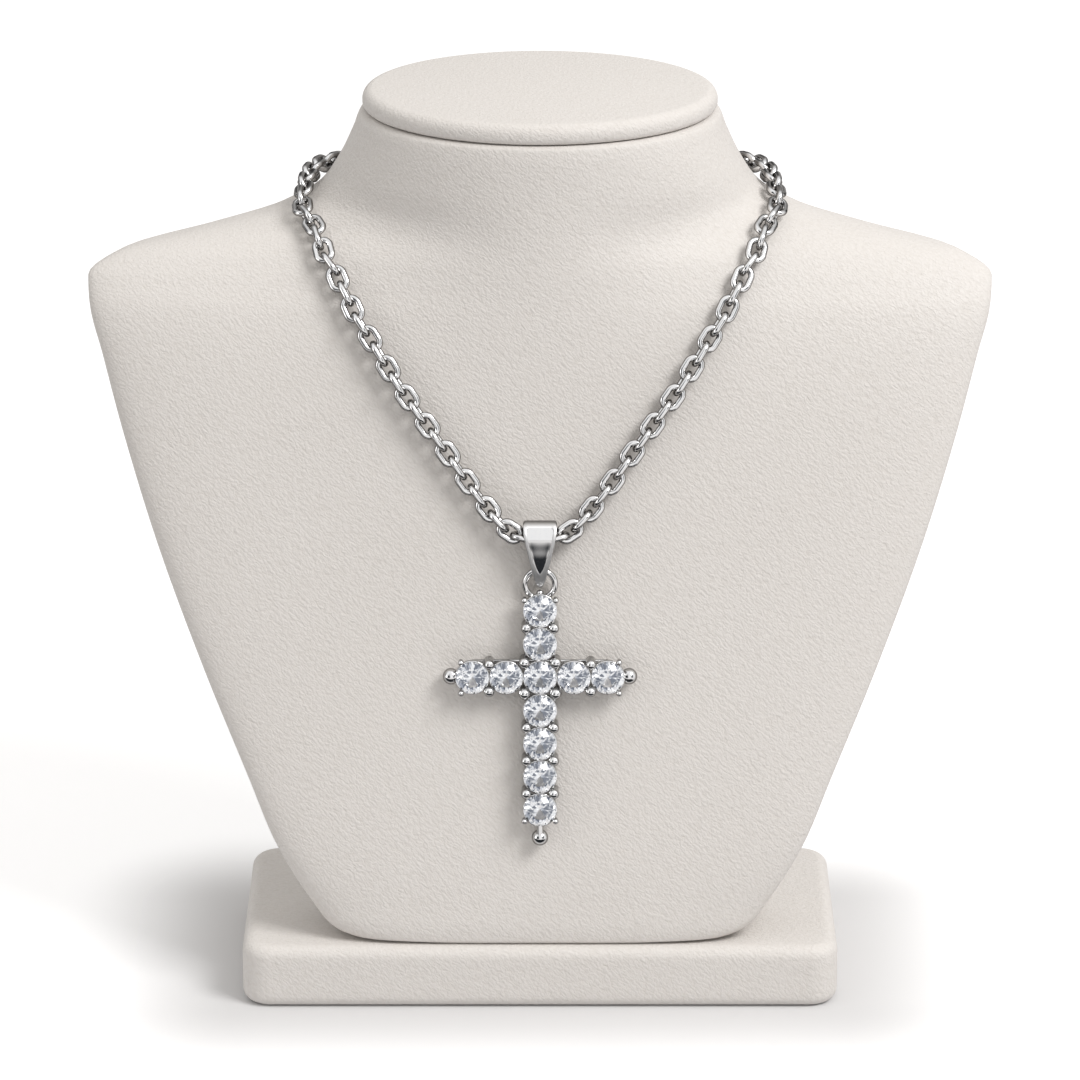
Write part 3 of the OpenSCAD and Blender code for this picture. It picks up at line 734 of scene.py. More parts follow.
@dataclass
class NeckBust:
    """Torso with its neck, and the cap that closes the neck."""

    shape: BustShape
    finish: Material
    row_parts: int = 5
    front_step: float = 3.0
    corner_from: float = 57.0
    corner_step: float = 1.5
    side_angles: tuple = (84, 85, 86, 87, 88, 89, 89.5, 89.85)
    cap_thick: float = 6.5
    cap_over: float = 0.8
    cap_gap: float = 0.3
    cap_low_share: float = 0.3
    cap_high_share: float = 0.46
    cap_crown_share: float = 0.14
    cap_steps: int = 120
    cap_edge_steps: tuple = (7, 10)
    cap_crown_range: tuple = (0.04, 0.97)
    cap_crown_steps: int = 14

    def angles(self) -> list[float]:
        """Gives the angles round a section, closer together at its corners.

        Returns:
            Degrees from the front, the left side's first.
        """
        quarter = [*np.arange(0, self.corner_from, self.front_step)]
        quarter += [*np.arange(self.corner_from, self.side_angles[0], self.corner_step), *self.side_angles]
        half = quarter + [90.0] + [180 - a for a in reversed(quarter)]
        return [-a for a in reversed(half[1:-1])] + half

    def torso(self) -> None:
        """Builds the torso and its neck."""
        rows = self.shape.table[:, 0]
        parts = [np.linspace(a, b, self.row_parts, endpoint=False) for a, b in zip(rows, rows[1:])]
        heights = [*np.concatenate(parts), 1.0]
        rings = [np.array([self.shape.point(a, t) for a in self.angles()]) for t in heights]
        mesh = MeshWorks.skin("torso_cover", rings)
        MeshWorks.show("torso_cover", mesh, self.finish, Slot.LEATHERETTE, "display_bust")

    def cap(self) -> None:
        """Builds the cap, with a soft edge and a low crown."""
        shape, top, thick = self.shape, self.shape.section(1.0), self.cap_thick
        half_w = shape.width * top[1] + self.cap_over
        half_d = shape.depth * (top[4] - top[2]) / 2 + self.cap_over
        middle = shape.foot_y + shape.depth * (top[4] + top[2]) / 2
        foot_z = shape.foot_z + shape.height + self.cap_gap
        low_r, high_r = thick * self.cap_low_share, thick * self.cap_high_share
        crown = thick * self.cap_crown_share
        low_turns, high_turns = (np.linspace(0, QUARTER, count) for count in self.cap_edge_steps)
        profile = [(low_r * (1 - math.sin(a)), low_r * (1 - math.cos(a))) for a in low_turns]
        for a in high_turns:
            profile.append((high_r * (1 - math.cos(a)), thick - crown - high_r * (1 - math.sin(a))))
        for r in high_r + (half_d - high_r) * np.linspace(*self.cap_crown_range, self.cap_crown_steps):
            profile.append((r, thick - crown * (1 - (r - high_r) / (half_d - high_r)) ** 2))
        turns = np.linspace(0, 2 * math.pi, self.cap_steps, endpoint=False)
        rings = []
        for inset, z in profile:
            across, deep = half_w - inset, half_d - inset
            ring = [[across * math.cos(a), middle + deep * math.sin(a), foot_z + z] for a in turns]
            rings.append(np.array(ring))
        mesh = MeshWorks.skin("cap_cover", rings)
        MeshWorks.show("cap_cover", mesh, self.finish, Slot.LEATHERETTE, "neck_cap")


@dataclass
class BaseSlab:
    """Rectangular base with rounded corners, wrapped in leatherette."""

    finish: Material
    width: float = 166.0
    depth: float = 78.0
    height: float = 18.0
    corner_r: float = 8.0
    least_r: float = 0.4
    edge_r: float = 3.5
    corner_steps: int = 12
    edge_steps: int = 9
    wall_shares: tuple = (0.35, 0.5, 0.65)
    top_insets: tuple = (1.0, 2.5, 3.9)

    def outline(self, inset: float, z: float) -> np.ndarray:
        """Gives the outline at a height, drawn in by an inset.

        Args:
            inset: how far it is drawn in.
            z: the height.

        Returns:
            Points round it.
        """
        r = max(self.least_r, self.corner_r - inset)
        points = []
        for start, sx, sy in ((0, 1, 1), (90, -1, 1), (180, -1, -1), (270, 1, -1)):
            cx, cy = sx * (self.width / 2 - inset - r), sy * (self.depth / 2 - inset - r)
            for k in range(self.corner_steps + 1):
                a = math.radians(start + 90 * k / self.corner_steps)
                points.append([cx + r * math.cos(a), cy + r * math.sin(a), z])
        return np.array(points)

    def build(self) -> None:
        """Builds the slab."""
        turns = [QUARTER * k / (self.edge_steps - 1) for k in range(self.edge_steps)]
        edge = [(self.edge_r * (1 - math.sin(a)), self.edge_r * (1 - math.cos(a))) for a in turns]
        profile = edge + [(0.0, self.height * share) for share in self.wall_shares]
        profile += [(rise, self.height - inset) for inset, rise in edge]
        profile += [(self.edge_r + inset, self.height) for inset in self.top_insets]
        mesh = MeshWorks.skin("base_cover", [self.outline(inset, z) for inset, z in profile])
        MeshWorks.show("base_cover", mesh, self.finish, Slot.LEATHERETTE, "display_base")


@dataclass
class PendantPlan:
    """Sizes and places of the pendant, in a frame that lies on the chest: x across, y up the chest, z out."""

    shape: BustShape
    flat_shares: tuple = (0.199, 0.498)
    rest_gap: float = 0.3
    stone_d: float = 8.9
    stone_pitch: float = 9.3
    above: int = 2
    below: int = 4
    aside: int = 2
    girdle_share: float = 0.028
    pavilion_share: float = 0.41
    culet_lift: float = 1.3
    collar_over: float = 0.1
    collar_low_share: float = 0.46
    ring_d: float = 9.9
    ring_wire: float = 1.65
    ring_lean: float = 11.0
    lug_play: float = 0.22
    lug_wall: float = 0.5
    lug_above_stone: float = 3.05
    hang_share: float = 1.0675
    bail_w: float = 9.3
    bail_h: float = 18.9
    bail_d: float = 8.5
    bail_wall: float = 0.85
    bail_crown_wall: float = 1.55
    bail_tip_r: float = 1.1
    bail_tip_back: float = 0.45
    bail_seat_share: float = 0.2
    bail_play: float = 0.25
    link_w: float = 6.0
    chain_slack: float = 0.4

    def __post_init__(self) -> None:
        """Works out the places that follow from the sizes."""
        low, high = (self.shape.point(0, share) for share in self.flat_shares)
        self.lean = math.atan2(high[1] - low[1], high[2] - low[2])
        self.origin = low
        self.chain_y = self.hang_share * float(np.linalg.norm(high - low))
        self.bail_top_y = self.chain_y + self.chain_slack + self.link_w / 2 + self.bail_crown_wall
        self.bail_tip_y = self.bail_top_y - self.bail_h
        self.bail_seat_y = self.bail_tip_y + self.bail_h * self.bail_seat_share
        self.culet_z = self.rest_gap + self.culet_lift
        self.girdle_z = self.culet_z + self.pavilion_share * self.stone_d
        self.girdle_top_z = self.girdle_z + self.girdle_share * self.stone_d
        self.collar_r = self.stone_pitch / 2 + self.collar_over
        self.collar_low_z = self.culet_z + self.collar_low_share * (self.girdle_z - self.culet_z)
        self.lug_bore_r = self.ring_wire / 2 + self.lug_play
        self.lug_r = self.lug_bore_r + self.lug_wall
        self.lug_z = self.rest_gap + self.lug_r
        self.ring_r = (self.ring_d - self.ring_wire) / 2
        tilt = math.radians(self.ring_lean)
        self.ring_z = self.lug_z + self.ring_r * math.sin(tilt)
        self.ring_top_z = self.ring_z + self.ring_r * math.sin(tilt)
        ring_top_y = self.bail_seat_y + self.rest_gap + self.ring_wire / 2
        self.ring_y = ring_top_y - self.ring_r * math.cos(tilt)
        self.lug_y = self.ring_y - self.ring_r * math.cos(tilt)
        self.top_stone_y = self.lug_y - self.lug_above_stone
        self.crossing_y = self.top_stone_y - self.above * self.stone_pitch
        self.foot_stone_y = self.crossing_y - self.below * self.stone_pitch
        self.end_x = self.aside * self.stone_pitch
        self.upright = (self.below + self.above) * self.stone_pitch
        self.bail_top_r = self.bail_d / 2
        self.bail_axis_z = self.rest_gap + self.bail_top_r

    def matrix(self) -> Matrix:
        """Gives the move from the pendant's frame to the object's, in metres."""
        turn = Matrix.Rotation(QUARTER - self.lean, 4, "X")
        return Matrix.Translation(Vector(self.origin * MM)) @ turn

    def on_chest(self, point: Sequence[float]) -> np.ndarray:
        """Gives a pendant point in the object's frame, in millimetres."""
        return np.array(self.matrix() @ Vector([c * MM for c in point])) / MM

    def stones(self) -> list[tuple[float, float]]:
        """Gives the middles of the stones, up the upright and then along the arms.

        Returns:
            X and Y of each.
        """
        rows, pitch = range(self.below + self.above + 1), self.stone_pitch
        upright = [(0.0, self.foot_stone_y + i * pitch) for i in rows]
        return upright + [(s * i * pitch, self.crossing_y) for s in SIGNS for i in range(1, self.aside + 1)]


class Scatter:
    """Geometry Nodes tree that puts one shape on many points."""

    def __init__(self) -> None:
        """Builds the tree."""
        self.tree, w, given, end = TreeMaker.group(
            "Geometry", "pieces_on_points", ("Geometry",),
            Geometry=("Geometry",), Object=("Shape",), Bool=("Smooth",), Material=("Finish",),
        )
        spread = w.out("GeometryNodeInstanceOnPoints", {
            "Points": given["Geometry"],
            "Instance": w.add("GeometryNodeObjectInfo", {"Object": given["Shape"]}).outputs["Geometry"],
            "Rotation": w.out("FunctionNodeEulerToRotation", {0: w.marked("turn")}),
            "Scale": w.marked("size"),
        })
        w.close(end, spread, given["Finish"], given["Smooth"])

    def place(
        self, shape: Mesh, finish: Material, spots: Sequence, sizes: Sequence, turns: Sequence | None = None,
        smooth: bool = True,
    ) -> Mesh:
        """Puts a shape on points.

        Args:
            shape: the mesh to repeat, which is removed.
            finish: the material of the copies.
            spots: places in millimetres.
            sizes: scale of each copy along its own axes.
            turns: Euler angles of each copy.
            smooth: whether the copies are shaded smooth.

        Returns:
            The joined copies as a plain mesh.
        """
        turns = np.zeros((len(spots), 3)) if turns is None else turns
        source = bpy.data.objects.new("shape", shape)
        values = {"Shape": source, "Smooth": smooth, "Finish": finish}
        grown = Grower.grow(self.tree, values, spots, size=sizes, turn=turns)
        bpy.data.objects.remove(source)
        bpy.data.meshes.remove(shape)
        return grown


@dataclass
class CutStones:
    """Round brilliants, one rule for all, placed by Geometry Nodes."""

    plan: PendantPlan
    finish: Material
    table: float = 0.56
    crown: float = 0.158
    star: float = 0.78
    lower: float = 0.23
    mains: int = 8
    round_parts: int = 3
    turn_spread: float = 0.10
    seed: int = 11

    def __post_init__(self) -> None:
        """Works out half the turn from one main facet to the next."""
        self.step = math.pi / self.mains

    def spot(self, radius: float, turn: float, z: float) -> np.ndarray:
        """Gives a point from its radius, its turn in steps and its height."""
        return np.array([radius * math.cos(turn * self.step), radius * math.sin(turn * self.step), z])

    def rim(self, z: float, apexes: Sequence[np.ndarray]) -> list[np.ndarray]:
        """Gives one edge of the girdle, where the long facets cut the round.

        Args:
            z: height of the edge where two facets meet.
            apexes: the points that the facets rise or fall to, one for each two facets.

        Returns:
            The edge's points.
        """
        ring = []
        for k in range(2 * self.mains):
            a, b = self.spot(1, k, z), self.spot(1, k + 1, z)
            n = np.cross(b - a, apexes[k // 2] - a)
            for part in range(self.round_parts):
                p = self.spot(1, k + part / self.round_parts, z)
                p[2] = a[2] - (n[0] * (p[0] - a[0]) + n[1] * (p[1] - a[1])) / n[2]
                ring.append(p)
        return ring

    def brilliant(self) -> Mesh:
        """Builds one stone with its culet at the origin and its radius 1, facets flat.

        Returns:
            The mesh.
        """
        low_z = 2 * self.plan.pavilion_share
        high_z = low_z + 2 * self.plan.girdle_share
        top_z = high_z + 2 * self.crown
        star_z = top_z + (high_z - top_z) * (self.star * math.cos(self.step) - self.table) / (1 - self.table)
        lower_z = low_z * self.lower * math.cos(self.step)
        mains, parts = self.mains, self.round_parts
        tables = [self.spot(self.table, 2 * k, top_z) for k in range(mains)]
        stars = [self.spot(self.star, 2 * k + 1, star_z) for k in range(mains)]
        lowers = [self.spot(self.lower, 2 * k + 1, lower_z) for k in range(mains)]
        rims = self.rim(high_z, stars) + self.rim(low_z, lowers)
        points = [self.spot(0, 0, 0), *tables, *stars, *lowers, *rims]
        count = 2 * mains * parts
        table, star, lower, high = (1 + mains * i for i in range(4))
        low = high + count
        faces = [list(range(table, star))]
        for k in range(mains):
            before, after, corner = (k - 1) % mains, (k + 1) % mains, 2 * k * parts
            faces.append([table + k, star + k, table + after])
            faces.append([table + k, star + before, high + corner, star + k])
            faces.append([0, lower + k, low + corner, lower + before])
        for k in range(2 * mains):
            run = [(k * parts + j) % count for j in range(parts + 1)]
            faces.append([star + k // 2] + [high + j for j in run])
            faces.append([lower + k // 2] + [low + j for j in run])
        faces += [[low + k, low + (k + 1) % count, high + (k + 1) % count, high + k] for k in range(count)]
        return MeshWorks.outwards(MeshWorks.mesh("brilliant", np.array(points) / MM, faces, smooth=False))

    def build(self, scatter: Scatter) -> None:
        """Places the stones, each turned a little its own way.

        Args:
            scatter: what puts them on their points.
        """
        spots = [(x, y, self.plan.culet_z) for x, y in self.plan.stones()]
        draw = np.random.default_rng(self.seed)
        turns = np.zeros((len(spots), 3))
        turns[:, 2] = self.step + draw.uniform(-self.turn_spread, self.turn_spread, len(spots))
        sizes = np.full((len(spots), 3), self.plan.stone_d / 2 * MM)
        mesh = scatter.place(self.brilliant(), self.finish, spots, sizes, turns, smooth=False)
        mesh.transform(self.plan.matrix())
        nodes = [f"stone_{i + 1}" for i in range(len(spots))]
        MeshWorks.show("cut_stones", mesh, self.finish, Slot.STONE, *nodes)


@dataclass
class CrossSetting:
    """Soldered metal of the cross: collars, bead posts, rails, balls and the lug."""

    plan: PendantPlan
    finish: Material
    scatter: Scatter
    bead_r: float = 1.45
    corner_bead_r: float = 1.6
    post_r: float = 1.4
    post_into_collar: float = 0.15
    corner_into_collar: float = 0.07
    end_prong_r: float = 0.65
    end_bead_r: float = 0.8
    end_prong_out: float = 0.55
    end_prong_turn: float = 54.0
    bead_over: float = 0.3
    corner_over: float = 0.5
    end_over: float = 0.35
    seat_gap: float = 0.14
    seat_below_girdle: float = 0.25
    ball_d: float = 4.6
    ball_lift: float = 0.4
    ball_out: float = 1.2
    foot_extra: float = 2.4
    stem_r: float = 0.9
    stem_into_collar: float = 0.3
    rail_w: float = 0.9
    rail_h: float = 0.9
    rail_round: float = 0.15
    rail_round_steps: int = 2
    lug_w: float = 1.7
    lug_round: float = 0.1
    lug_ball_r: float = 0.95
    lug_ball_lift: float = 0.3
    collar_inside: tuple = ((0.0, 0.1), (0.15, 0.0), (0.08, 0.0), (0.0, -0.06))
    collar_foot: tuple = ((-0.25, 0.0), (-0.07, 0.08), (0.0, 0.3))
    collar_rim: tuple = ((0.0, -0.16), (-0.05, -0.05), (-0.14, 0.0))
    collar_steps: int = 48
    lug_steps: int = 32
    round_steps: int = 28
    ball_rows: int = 18
    sharp_angle: float = 38.0

    def __post_init__(self) -> None:
        """Works out how far aside the beads between two stones stand."""
        reach = self.plan.collar_r + self.post_r - self.post_into_collar
        self.bead_aside = math.sqrt(reach**2 - (self.plan.stone_pitch / 2) ** 2)

    def spread(self, form: Form, spots: Sequence, sizes: Sequence, turns: Sequence | None = None) -> Mesh:
        """Puts balls or posts on points.

        Args:
            form: which of the two.
            spots: the middles of the balls or of the posts' feet.
            sizes: half widths of each, and its half height if it is a ball or its length if it is a post.
            turns: Euler angles of each post, which stands along Z without them.

        Returns:
            The copies as one mesh.
        """
        count = self.round_steps
        if form is Form.BALL:
            shape = MeshWorks.ball(count, self.ball_rows)
        else:
            work = bmesh.new()
            bmesh.ops.create_cone(work, cap_ends=True, segments=count, radius1=1.0, radius2=1.0, depth=1.0)
            bmesh.ops.translate(work, verts=work.verts, vec=(0, 0, 0.5))
            shape = MeshWorks.kept("post", work)
        return self.scatter.place(shape, self.finish, spots, np.array(sizes) * MM, turns)

    @staticmethod
    def turned(name: str, profile: Sequence[tuple[float, float]], steps: int) -> Mesh:
        """Turns a closed profile of radius and height round the Z axis.

        Args:
            name: the mesh's name.
            profile: points of radius and height, in millimetres.
            steps: sides of the turned shape.

        Returns:
            The mesh.
        """
        turns = [2 * math.pi * k / steps for k in range(steps)]
        points = [[r * math.cos(a), r * math.sin(a), z] for a in turns for r, z in profile]
        faces = MeshWorks.quads(steps, len(profile), closed=True)
        return MeshWorks.outwards(MeshWorks.mesh(name, points, faces))

    def collar(self) -> Mesh:
        """Makes one collar with softly rounded edges.

        Returns:
            The mesh.
        """
        p = self.plan
        slope = 2 * p.pavilion_share
        gap = self.seat_gap / math.cos(math.atan(slope))
        low, high, r = p.collar_low_z, p.girdle_z - self.seat_below_girdle, p.collar_r
        inner_low = (low + gap - p.culet_z) / slope + gap
        inner_high = (high - p.culet_z) / slope + gap
        corners = [(inner_low, low)] * 2 + [(r, low)] * 3 + [(r, high)] * 3 + [(inner_high, high)] * 2
        soft = (*self.collar_inside[:2], *self.collar_foot, *self.collar_rim, *self.collar_inside[2:])
        profile = [(x + aside, z + up) for (x, z), (aside, up) in zip(corners, soft)]
        return self.turned("collar", profile, self.collar_steps)

    def beads(self) -> list[Mesh]:
        """Makes the bead prongs: a post with a ball on it each.

        Returns:
            The balls and the posts.
        """
        p, aside = self.plan, self.bead_aside
        corner = (p.collar_r + self.post_r - self.corner_into_collar) * math.sin(math.pi / 4)
        usual = (p.rest_gap, p.girdle_top_z + self.bead_over, self.post_r, self.bead_r)
        inner = (p.rest_gap, p.girdle_top_z + self.corner_over, self.post_r, self.corner_bead_r)
        prong = (p.collar_low_z, p.girdle_top_z + self.end_over, self.end_prong_r, self.end_bead_r)
        rows = []
        for i in range(p.below + p.above):
            if i not in (p.below, p.below - 1):
                rows += [(s * aside, p.foot_stone_y + (i + 0.5) * p.stone_pitch, *usual) for s in SIGNS]
        for side in SIGNS:
            for i in range(1, p.aside):
                x = side * (i + 0.5) * p.stone_pitch
                rows += [(x, p.crossing_y + up * aside, *usual) for up in SIGNS]
            rows += [(side * corner, p.crossing_y + up * corner, *inner) for up in SIGNS]
        reach = p.collar_r + self.end_prong_out
        ends = [(0, p.foot_stone_y, 270), (0, p.top_stone_y, 90)]
        ends += [(p.end_x, p.crossing_y, 0), (-p.end_x, p.crossing_y, 180)]
        for x, y, facing in ends:
            for side in SIGNS:
                a = math.radians(facing + side * self.end_prong_turn)
                rows.append((x + reach * math.cos(a), y + reach * math.sin(a), *prong))
        x, y, foot, head, post_r, ball_r = np.array(rows).T
        balls, ball_sizes, posts, post_sizes = (
            np.stack(parts, axis=1)
            for parts in ((x, y, head), (ball_r,) * 3, (x, y, foot), (post_r, post_r, head - foot))
        )
        return [self.spread(Form.BALL, balls, ball_sizes), self.spread(Form.POST, posts, post_sizes)]

    def rails(self) -> list[Mesh]:
        """Makes the rails under the rows of stones.

        Returns:
            One mesh for each rail.
        """
        p = self.plan
        middle, z = p.foot_stone_y + p.upright / 2, p.rest_gap + self.rail_h / 2
        made = []
        for side in SIGNS:
            aside = side * self.bead_aside
            for place, size in (
                ((aside, middle, z), (self.rail_w, p.upright, self.rail_h)),
                ((0, p.crossing_y + aside, z), (2 * p.end_x, self.rail_w, self.rail_h)),
            ):
                work = bmesh.new()
                bmesh.ops.create_cube(work, size=1.0)
                bmesh.ops.scale(work, verts=work.verts, vec=[s * MM for s in size])
                rounding = {"offset": self.rail_round * MM, "segments": self.rail_round_steps, "profile": 0.5}
                bmesh.ops.bevel(work, geom=list(work.edges), affect="EDGES", **rounding)
                bmesh.ops.translate(work, verts=work.verts, vec=[c * MM for c in place])
                made.append(MeshWorks.kept("rail", work))
        return made

    def lug(self) -> Mesh:
        """Makes the bored lug behind the top stone.

        Returns:
            The mesh.
        """
        p, half, soft = self.plan, self.lug_w / 2, self.lug_round
        low, high = p.lug_bore_r, p.lug_r
        mesh = self.turned("lug", [
            (low, -half + soft), (low + soft, -half), (high - soft, -half), (high, -half + soft),
            (high, half - soft), (high - soft, half), (low + soft, half), (low, half - soft),
        ], self.lug_steps)
        mesh.transform(Matrix.Translation((0, p.lug_y * MM, p.lug_z * MM)) @ Matrix.Rotation(QUARTER, 4, "Y"))
        return mesh

    def ends(self) -> list[Mesh]:
        """Makes the balls at the cross's ends and over its lug, and the stems of the first three.

        Returns:
            The balls and the stems.
        """
        p, radius = self.plan, self.ball_d / 2
        arm = p.stone_pitch / 2 + self.ball_out
        start = p.collar_r - self.stem_into_collar
        foot, ball_z = arm + self.foot_extra, p.rest_gap + radius + self.ball_lift
        stem_z = p.collar_low_z + self.stem_r
        balls, stems = (
            [(0, p.foot_stone_y - below, z), *((s * (p.end_x + aside), p.crossing_y, z) for s in (1, -1))]
            for below, aside, z in ((foot, arm, ball_z), (start, start, stem_z))
        )
        balls.append((0, p.lug_y + p.lug_r - self.lug_round, p.lug_z + self.lug_ball_lift))
        ball_sizes = [(radius,) * 3] * 3 + [(self.lug_ball_r,) * 3]
        lengths = [out - p.collar_r + self.stem_into_collar for out in (foot, arm, arm)]
        stem_sizes = [(self.stem_r, self.stem_r, length) for length in lengths]
        turns = [(QUARTER, 0, 0), (0, QUARTER, 0), (0, -QUARTER, 0)]
        return [self.spread(Form.BALL, balls, ball_sizes), self.spread(Form.POST, stems, stem_sizes, turns)]

    def build(self) -> None:
        """Builds the setting."""
        p = self.plan
        seats = [(x, y, 0.0) for x, y in p.stones()]
        collars = self.scatter.place(self.collar(), self.finish, seats, np.ones((len(seats), 3)))
        parts = [*self.beads(), collars, *self.ends(), *self.rails(), self.lug()]
        mesh = MeshWorks.joined("setting_metal", parts)
        mesh.transform(p.matrix())
        MeshWorks.show("setting_metal", mesh, self.finish, Slot.METAL, "cross_setting")
        mesh.set_sharp_from_angle(angle=math.radians(self.sharp_angle))


@dataclass
class BailLoop:
    """Tapered strip folded into a loop, with a raised border round its front panel.

    Both outlines hold a height share and a half width share, from the tip to the top. The rows of the two
    edges hold a distance in from the strip's edge and how far its surface lies below its face there.
    """

    plan: PendantPlan
    finish: Material
    border: Material
    outline: tuple = (
        (-0.02, 0.05), (0.0, 0.11), (0.03, 0.19), (0.06, 0.25), (0.11, 0.33), (0.22, 0.45), (0.35, 0.58),
        (0.50, 0.71), (0.68, 0.86), (0.85, 0.965), (0.93, 1.0), (0.97, 0.985), (0.995, 0.93), (1.01, 0.86),
    )
    panel: tuple = (
        (0.215, 0.02), (0.24, 0.10), (0.30, 0.215), (0.40, 0.345), (0.58, 0.555), (0.75, 0.70), (0.88, 0.79),
        (0.905, 0.78), (0.93, 0.70),
    )
    edge: tuple = ((0.0, 0.34), (0.05, 0.17), (0.14, 0.08), (0.3, 0.02))
    edge_room: float = 0.6
    inside_edge: tuple = ((0.2, 0.0), (0.06, 0.10))
    panel_depth: float = 0.32
    panel_crown: float = 0.10
    panel_least: float = 0.1
    panel_fades: tuple = (0.03, 0.012)
    panel_wall_share: float = 0.9
    panel_shares: tuple = (0.94, 0.75, 0.5, 0.25, 0.0)
    lip_shares: tuple = (0.14, 0.05)
    lip_drop: float = 0.05
    lip_most: float = 1.0
    mark_over: float = 0.01
    front_share: float = 0.75
    flank_r: float = 42.0
    arc_steps: int = 64
    tip_steps: int = 21
    side_steps: int = 44
    sharp_angle: float = 50.0

    @staticmethod
    def arc(middle: np.ndarray, radius: float, start: float, end: float, steps: int) -> list[np.ndarray]:
        """Gives the points of an arc round a middle, without its last."""
        turns = start + (end - start) * np.arange(steps) / steps
        return [middle + radius * np.array([math.cos(t), math.sin(t)]) for t in turns]

    def loop(self, big: tuple, big_r: float, small: tuple, small_r: float) -> np.ndarray:
        """Gives the side view's outline round two circles.

        Args:
            big: middle of the large circle as depth and height.
            big_r: its radius.
            small: middle of the small circle.
            small_r: its radius.

        Returns:
            Points as depth and height.
        """
        b, s, flank_r = np.array(big), np.array(small), self.flank_r
        heading = math.atan2(*(s - b)[::-1])
        span, to_big, to_small = np.linalg.norm(s - b), flank_r - big_r, flank_r - small_r
        opened = math.acos((big_r - small_r) / span)
        along = (to_big**2 - to_small**2 + span**2) / (2 * span)
        onward = (s - b) / span
        hub = b + along * onward + math.sqrt(to_big**2 - along**2) * np.array([onward[1], -onward[0]])
        front, last = (math.atan2(*(point - hub)[::-1]) for point in (b, s))
        back = heading - opened
        out = np.array([math.cos(back), math.sin(back)])
        shares = np.arange(self.side_steps) / self.side_steps
        rear = [(b + big_r * out) * (1 - u) + (s + small_r * out) * u for u in shares]
        ring = self.arc(hub, flank_r, front, last, self.side_steps)
        ring += self.arc(s, small_r, last, back - 2 * math.pi if back > last else back, self.tip_steps)
        crown = self.arc(b, big_r, back, front - 2 * math.pi if front > back else front, self.arc_steps)
        return np.array(ring + rear[::-1] + crown[1:])

    def share(self, y: float) -> float:
        """Gives the height share of a height."""
        return (y - self.plan.bail_tip_y) / self.plan.bail_h

    def half_at(self, table: tuple, y: float) -> float:
        """Gives a half width of one of the outlines at a height."""
        rows = np.array(table)
        return float(np.interp(self.share(y), rows[:, 0], rows[:, 1])) * self.plan.bail_w / 2

    def station(self, outer: np.ndarray, inner: np.ndarray) -> tuple[np.ndarray, list[bool]]:
        """Gives the closed section of the strip at one place along the loop.

        Args:
            outer: the place on the outer outline, as depth and height.
            inner: the place across from it on the inner outline.

        Returns:
            Points across the strip and back along its inside, and which of them lie in the sunken pane.
        """
        half, share = self.half_at(self.outline, outer[1]), self.share(outer[1])
        pane = max(self.panel_least, self.half_at(self.panel, outer[1]))
        room = (share - self.panel[0][0], self.panel[-1][0] - share)
        fade = math.prod(min(1.0, max(0.0, r / reach)) for r, reach in zip(room, self.panel_fades))
        front = outer[0] > self.plan.bail_axis_z * self.front_share
        deep = self.panel_depth * fade if front else 0.0
        crown = self.panel_crown if deep > 0 else 0.0
        inward = (inner - outer) / np.linalg.norm(inner - outer)
        brim, (wide, narrow) = min(self.lip_most, half - pane), self.lip_shares
        top = [(half - e * min(1.0, (half - pane) / self.edge_room), drop) for e, drop in self.edge]
        top += [(pane + wide * brim, 0.0), (pane + narrow * brim, self.lip_drop if deep else 0.0)]
        top += [(pane, deep * self.panel_wall_share), (pane * self.panel_shares[0], deep)]
        top += [(pane * k, deep - crown * (1 - k * k) * fade) for k in self.panel_shares[1:]]
        ring = [(half / 2, *inner)] + [(half - x, *(inner - inward * lift)) for x, lift in self.inside_edge]
        ring += [(x, *(outer + inward * drop)) for x, drop in top]
        ring += [(-x, z, y) for x, z, y in ring[::-1][1:]]
        middle, reach = (outer + inner) / 2, pane + self.mark_over if front and min(room) > 0 else 0.0
        sunk = [abs(x) < reach and np.dot((z, y) - middle, outer - middle) > 0 for x, z, y in ring]
        return np.array([(x, y, z) for x, z, y in ring]), sunk

    def build(self) -> None:
        """Builds the loop."""
        p = self.plan
        hollow_r = p.bail_top_r - p.bail_wall
        seat_r = p.ring_wire / 2 + p.bail_play
        outer = self.loop((p.bail_axis_z, p.bail_top_y - p.bail_top_r), p.bail_top_r,
                          (p.ring_top_z - p.bail_tip_back, p.bail_tip_y + p.bail_tip_r), p.bail_tip_r)
        inner = self.loop((p.bail_axis_z, p.bail_top_y - p.bail_crown_wall - hollow_r), hollow_r,
                          (p.ring_top_z, p.bail_seat_y + seat_r), seat_r)
        rings, rows = zip(*(self.station(o, i) for o, i in zip(outer, inner)))
        marks = [mark for row in rows for mark in row]
        faces = MeshWorks.quads(len(rings), len(rings[0]), closed=True)
        mesh = MeshWorks.outwards(MeshWorks.mesh("bail_loop", np.concatenate(rings), faces), merge=0.0)
        mesh.transform(p.matrix())
        MeshWorks.show("bail_loop", mesh, self.border, Slot.METAL, "bail")
        mesh.materials.append(self.finish)
        for face in mesh.polygons:
            face.material_index = int(all(marks[v] for v in face.vertices))
        mesh.set_sharp_from_angle(angle=math.radians(self.sharp_angle))


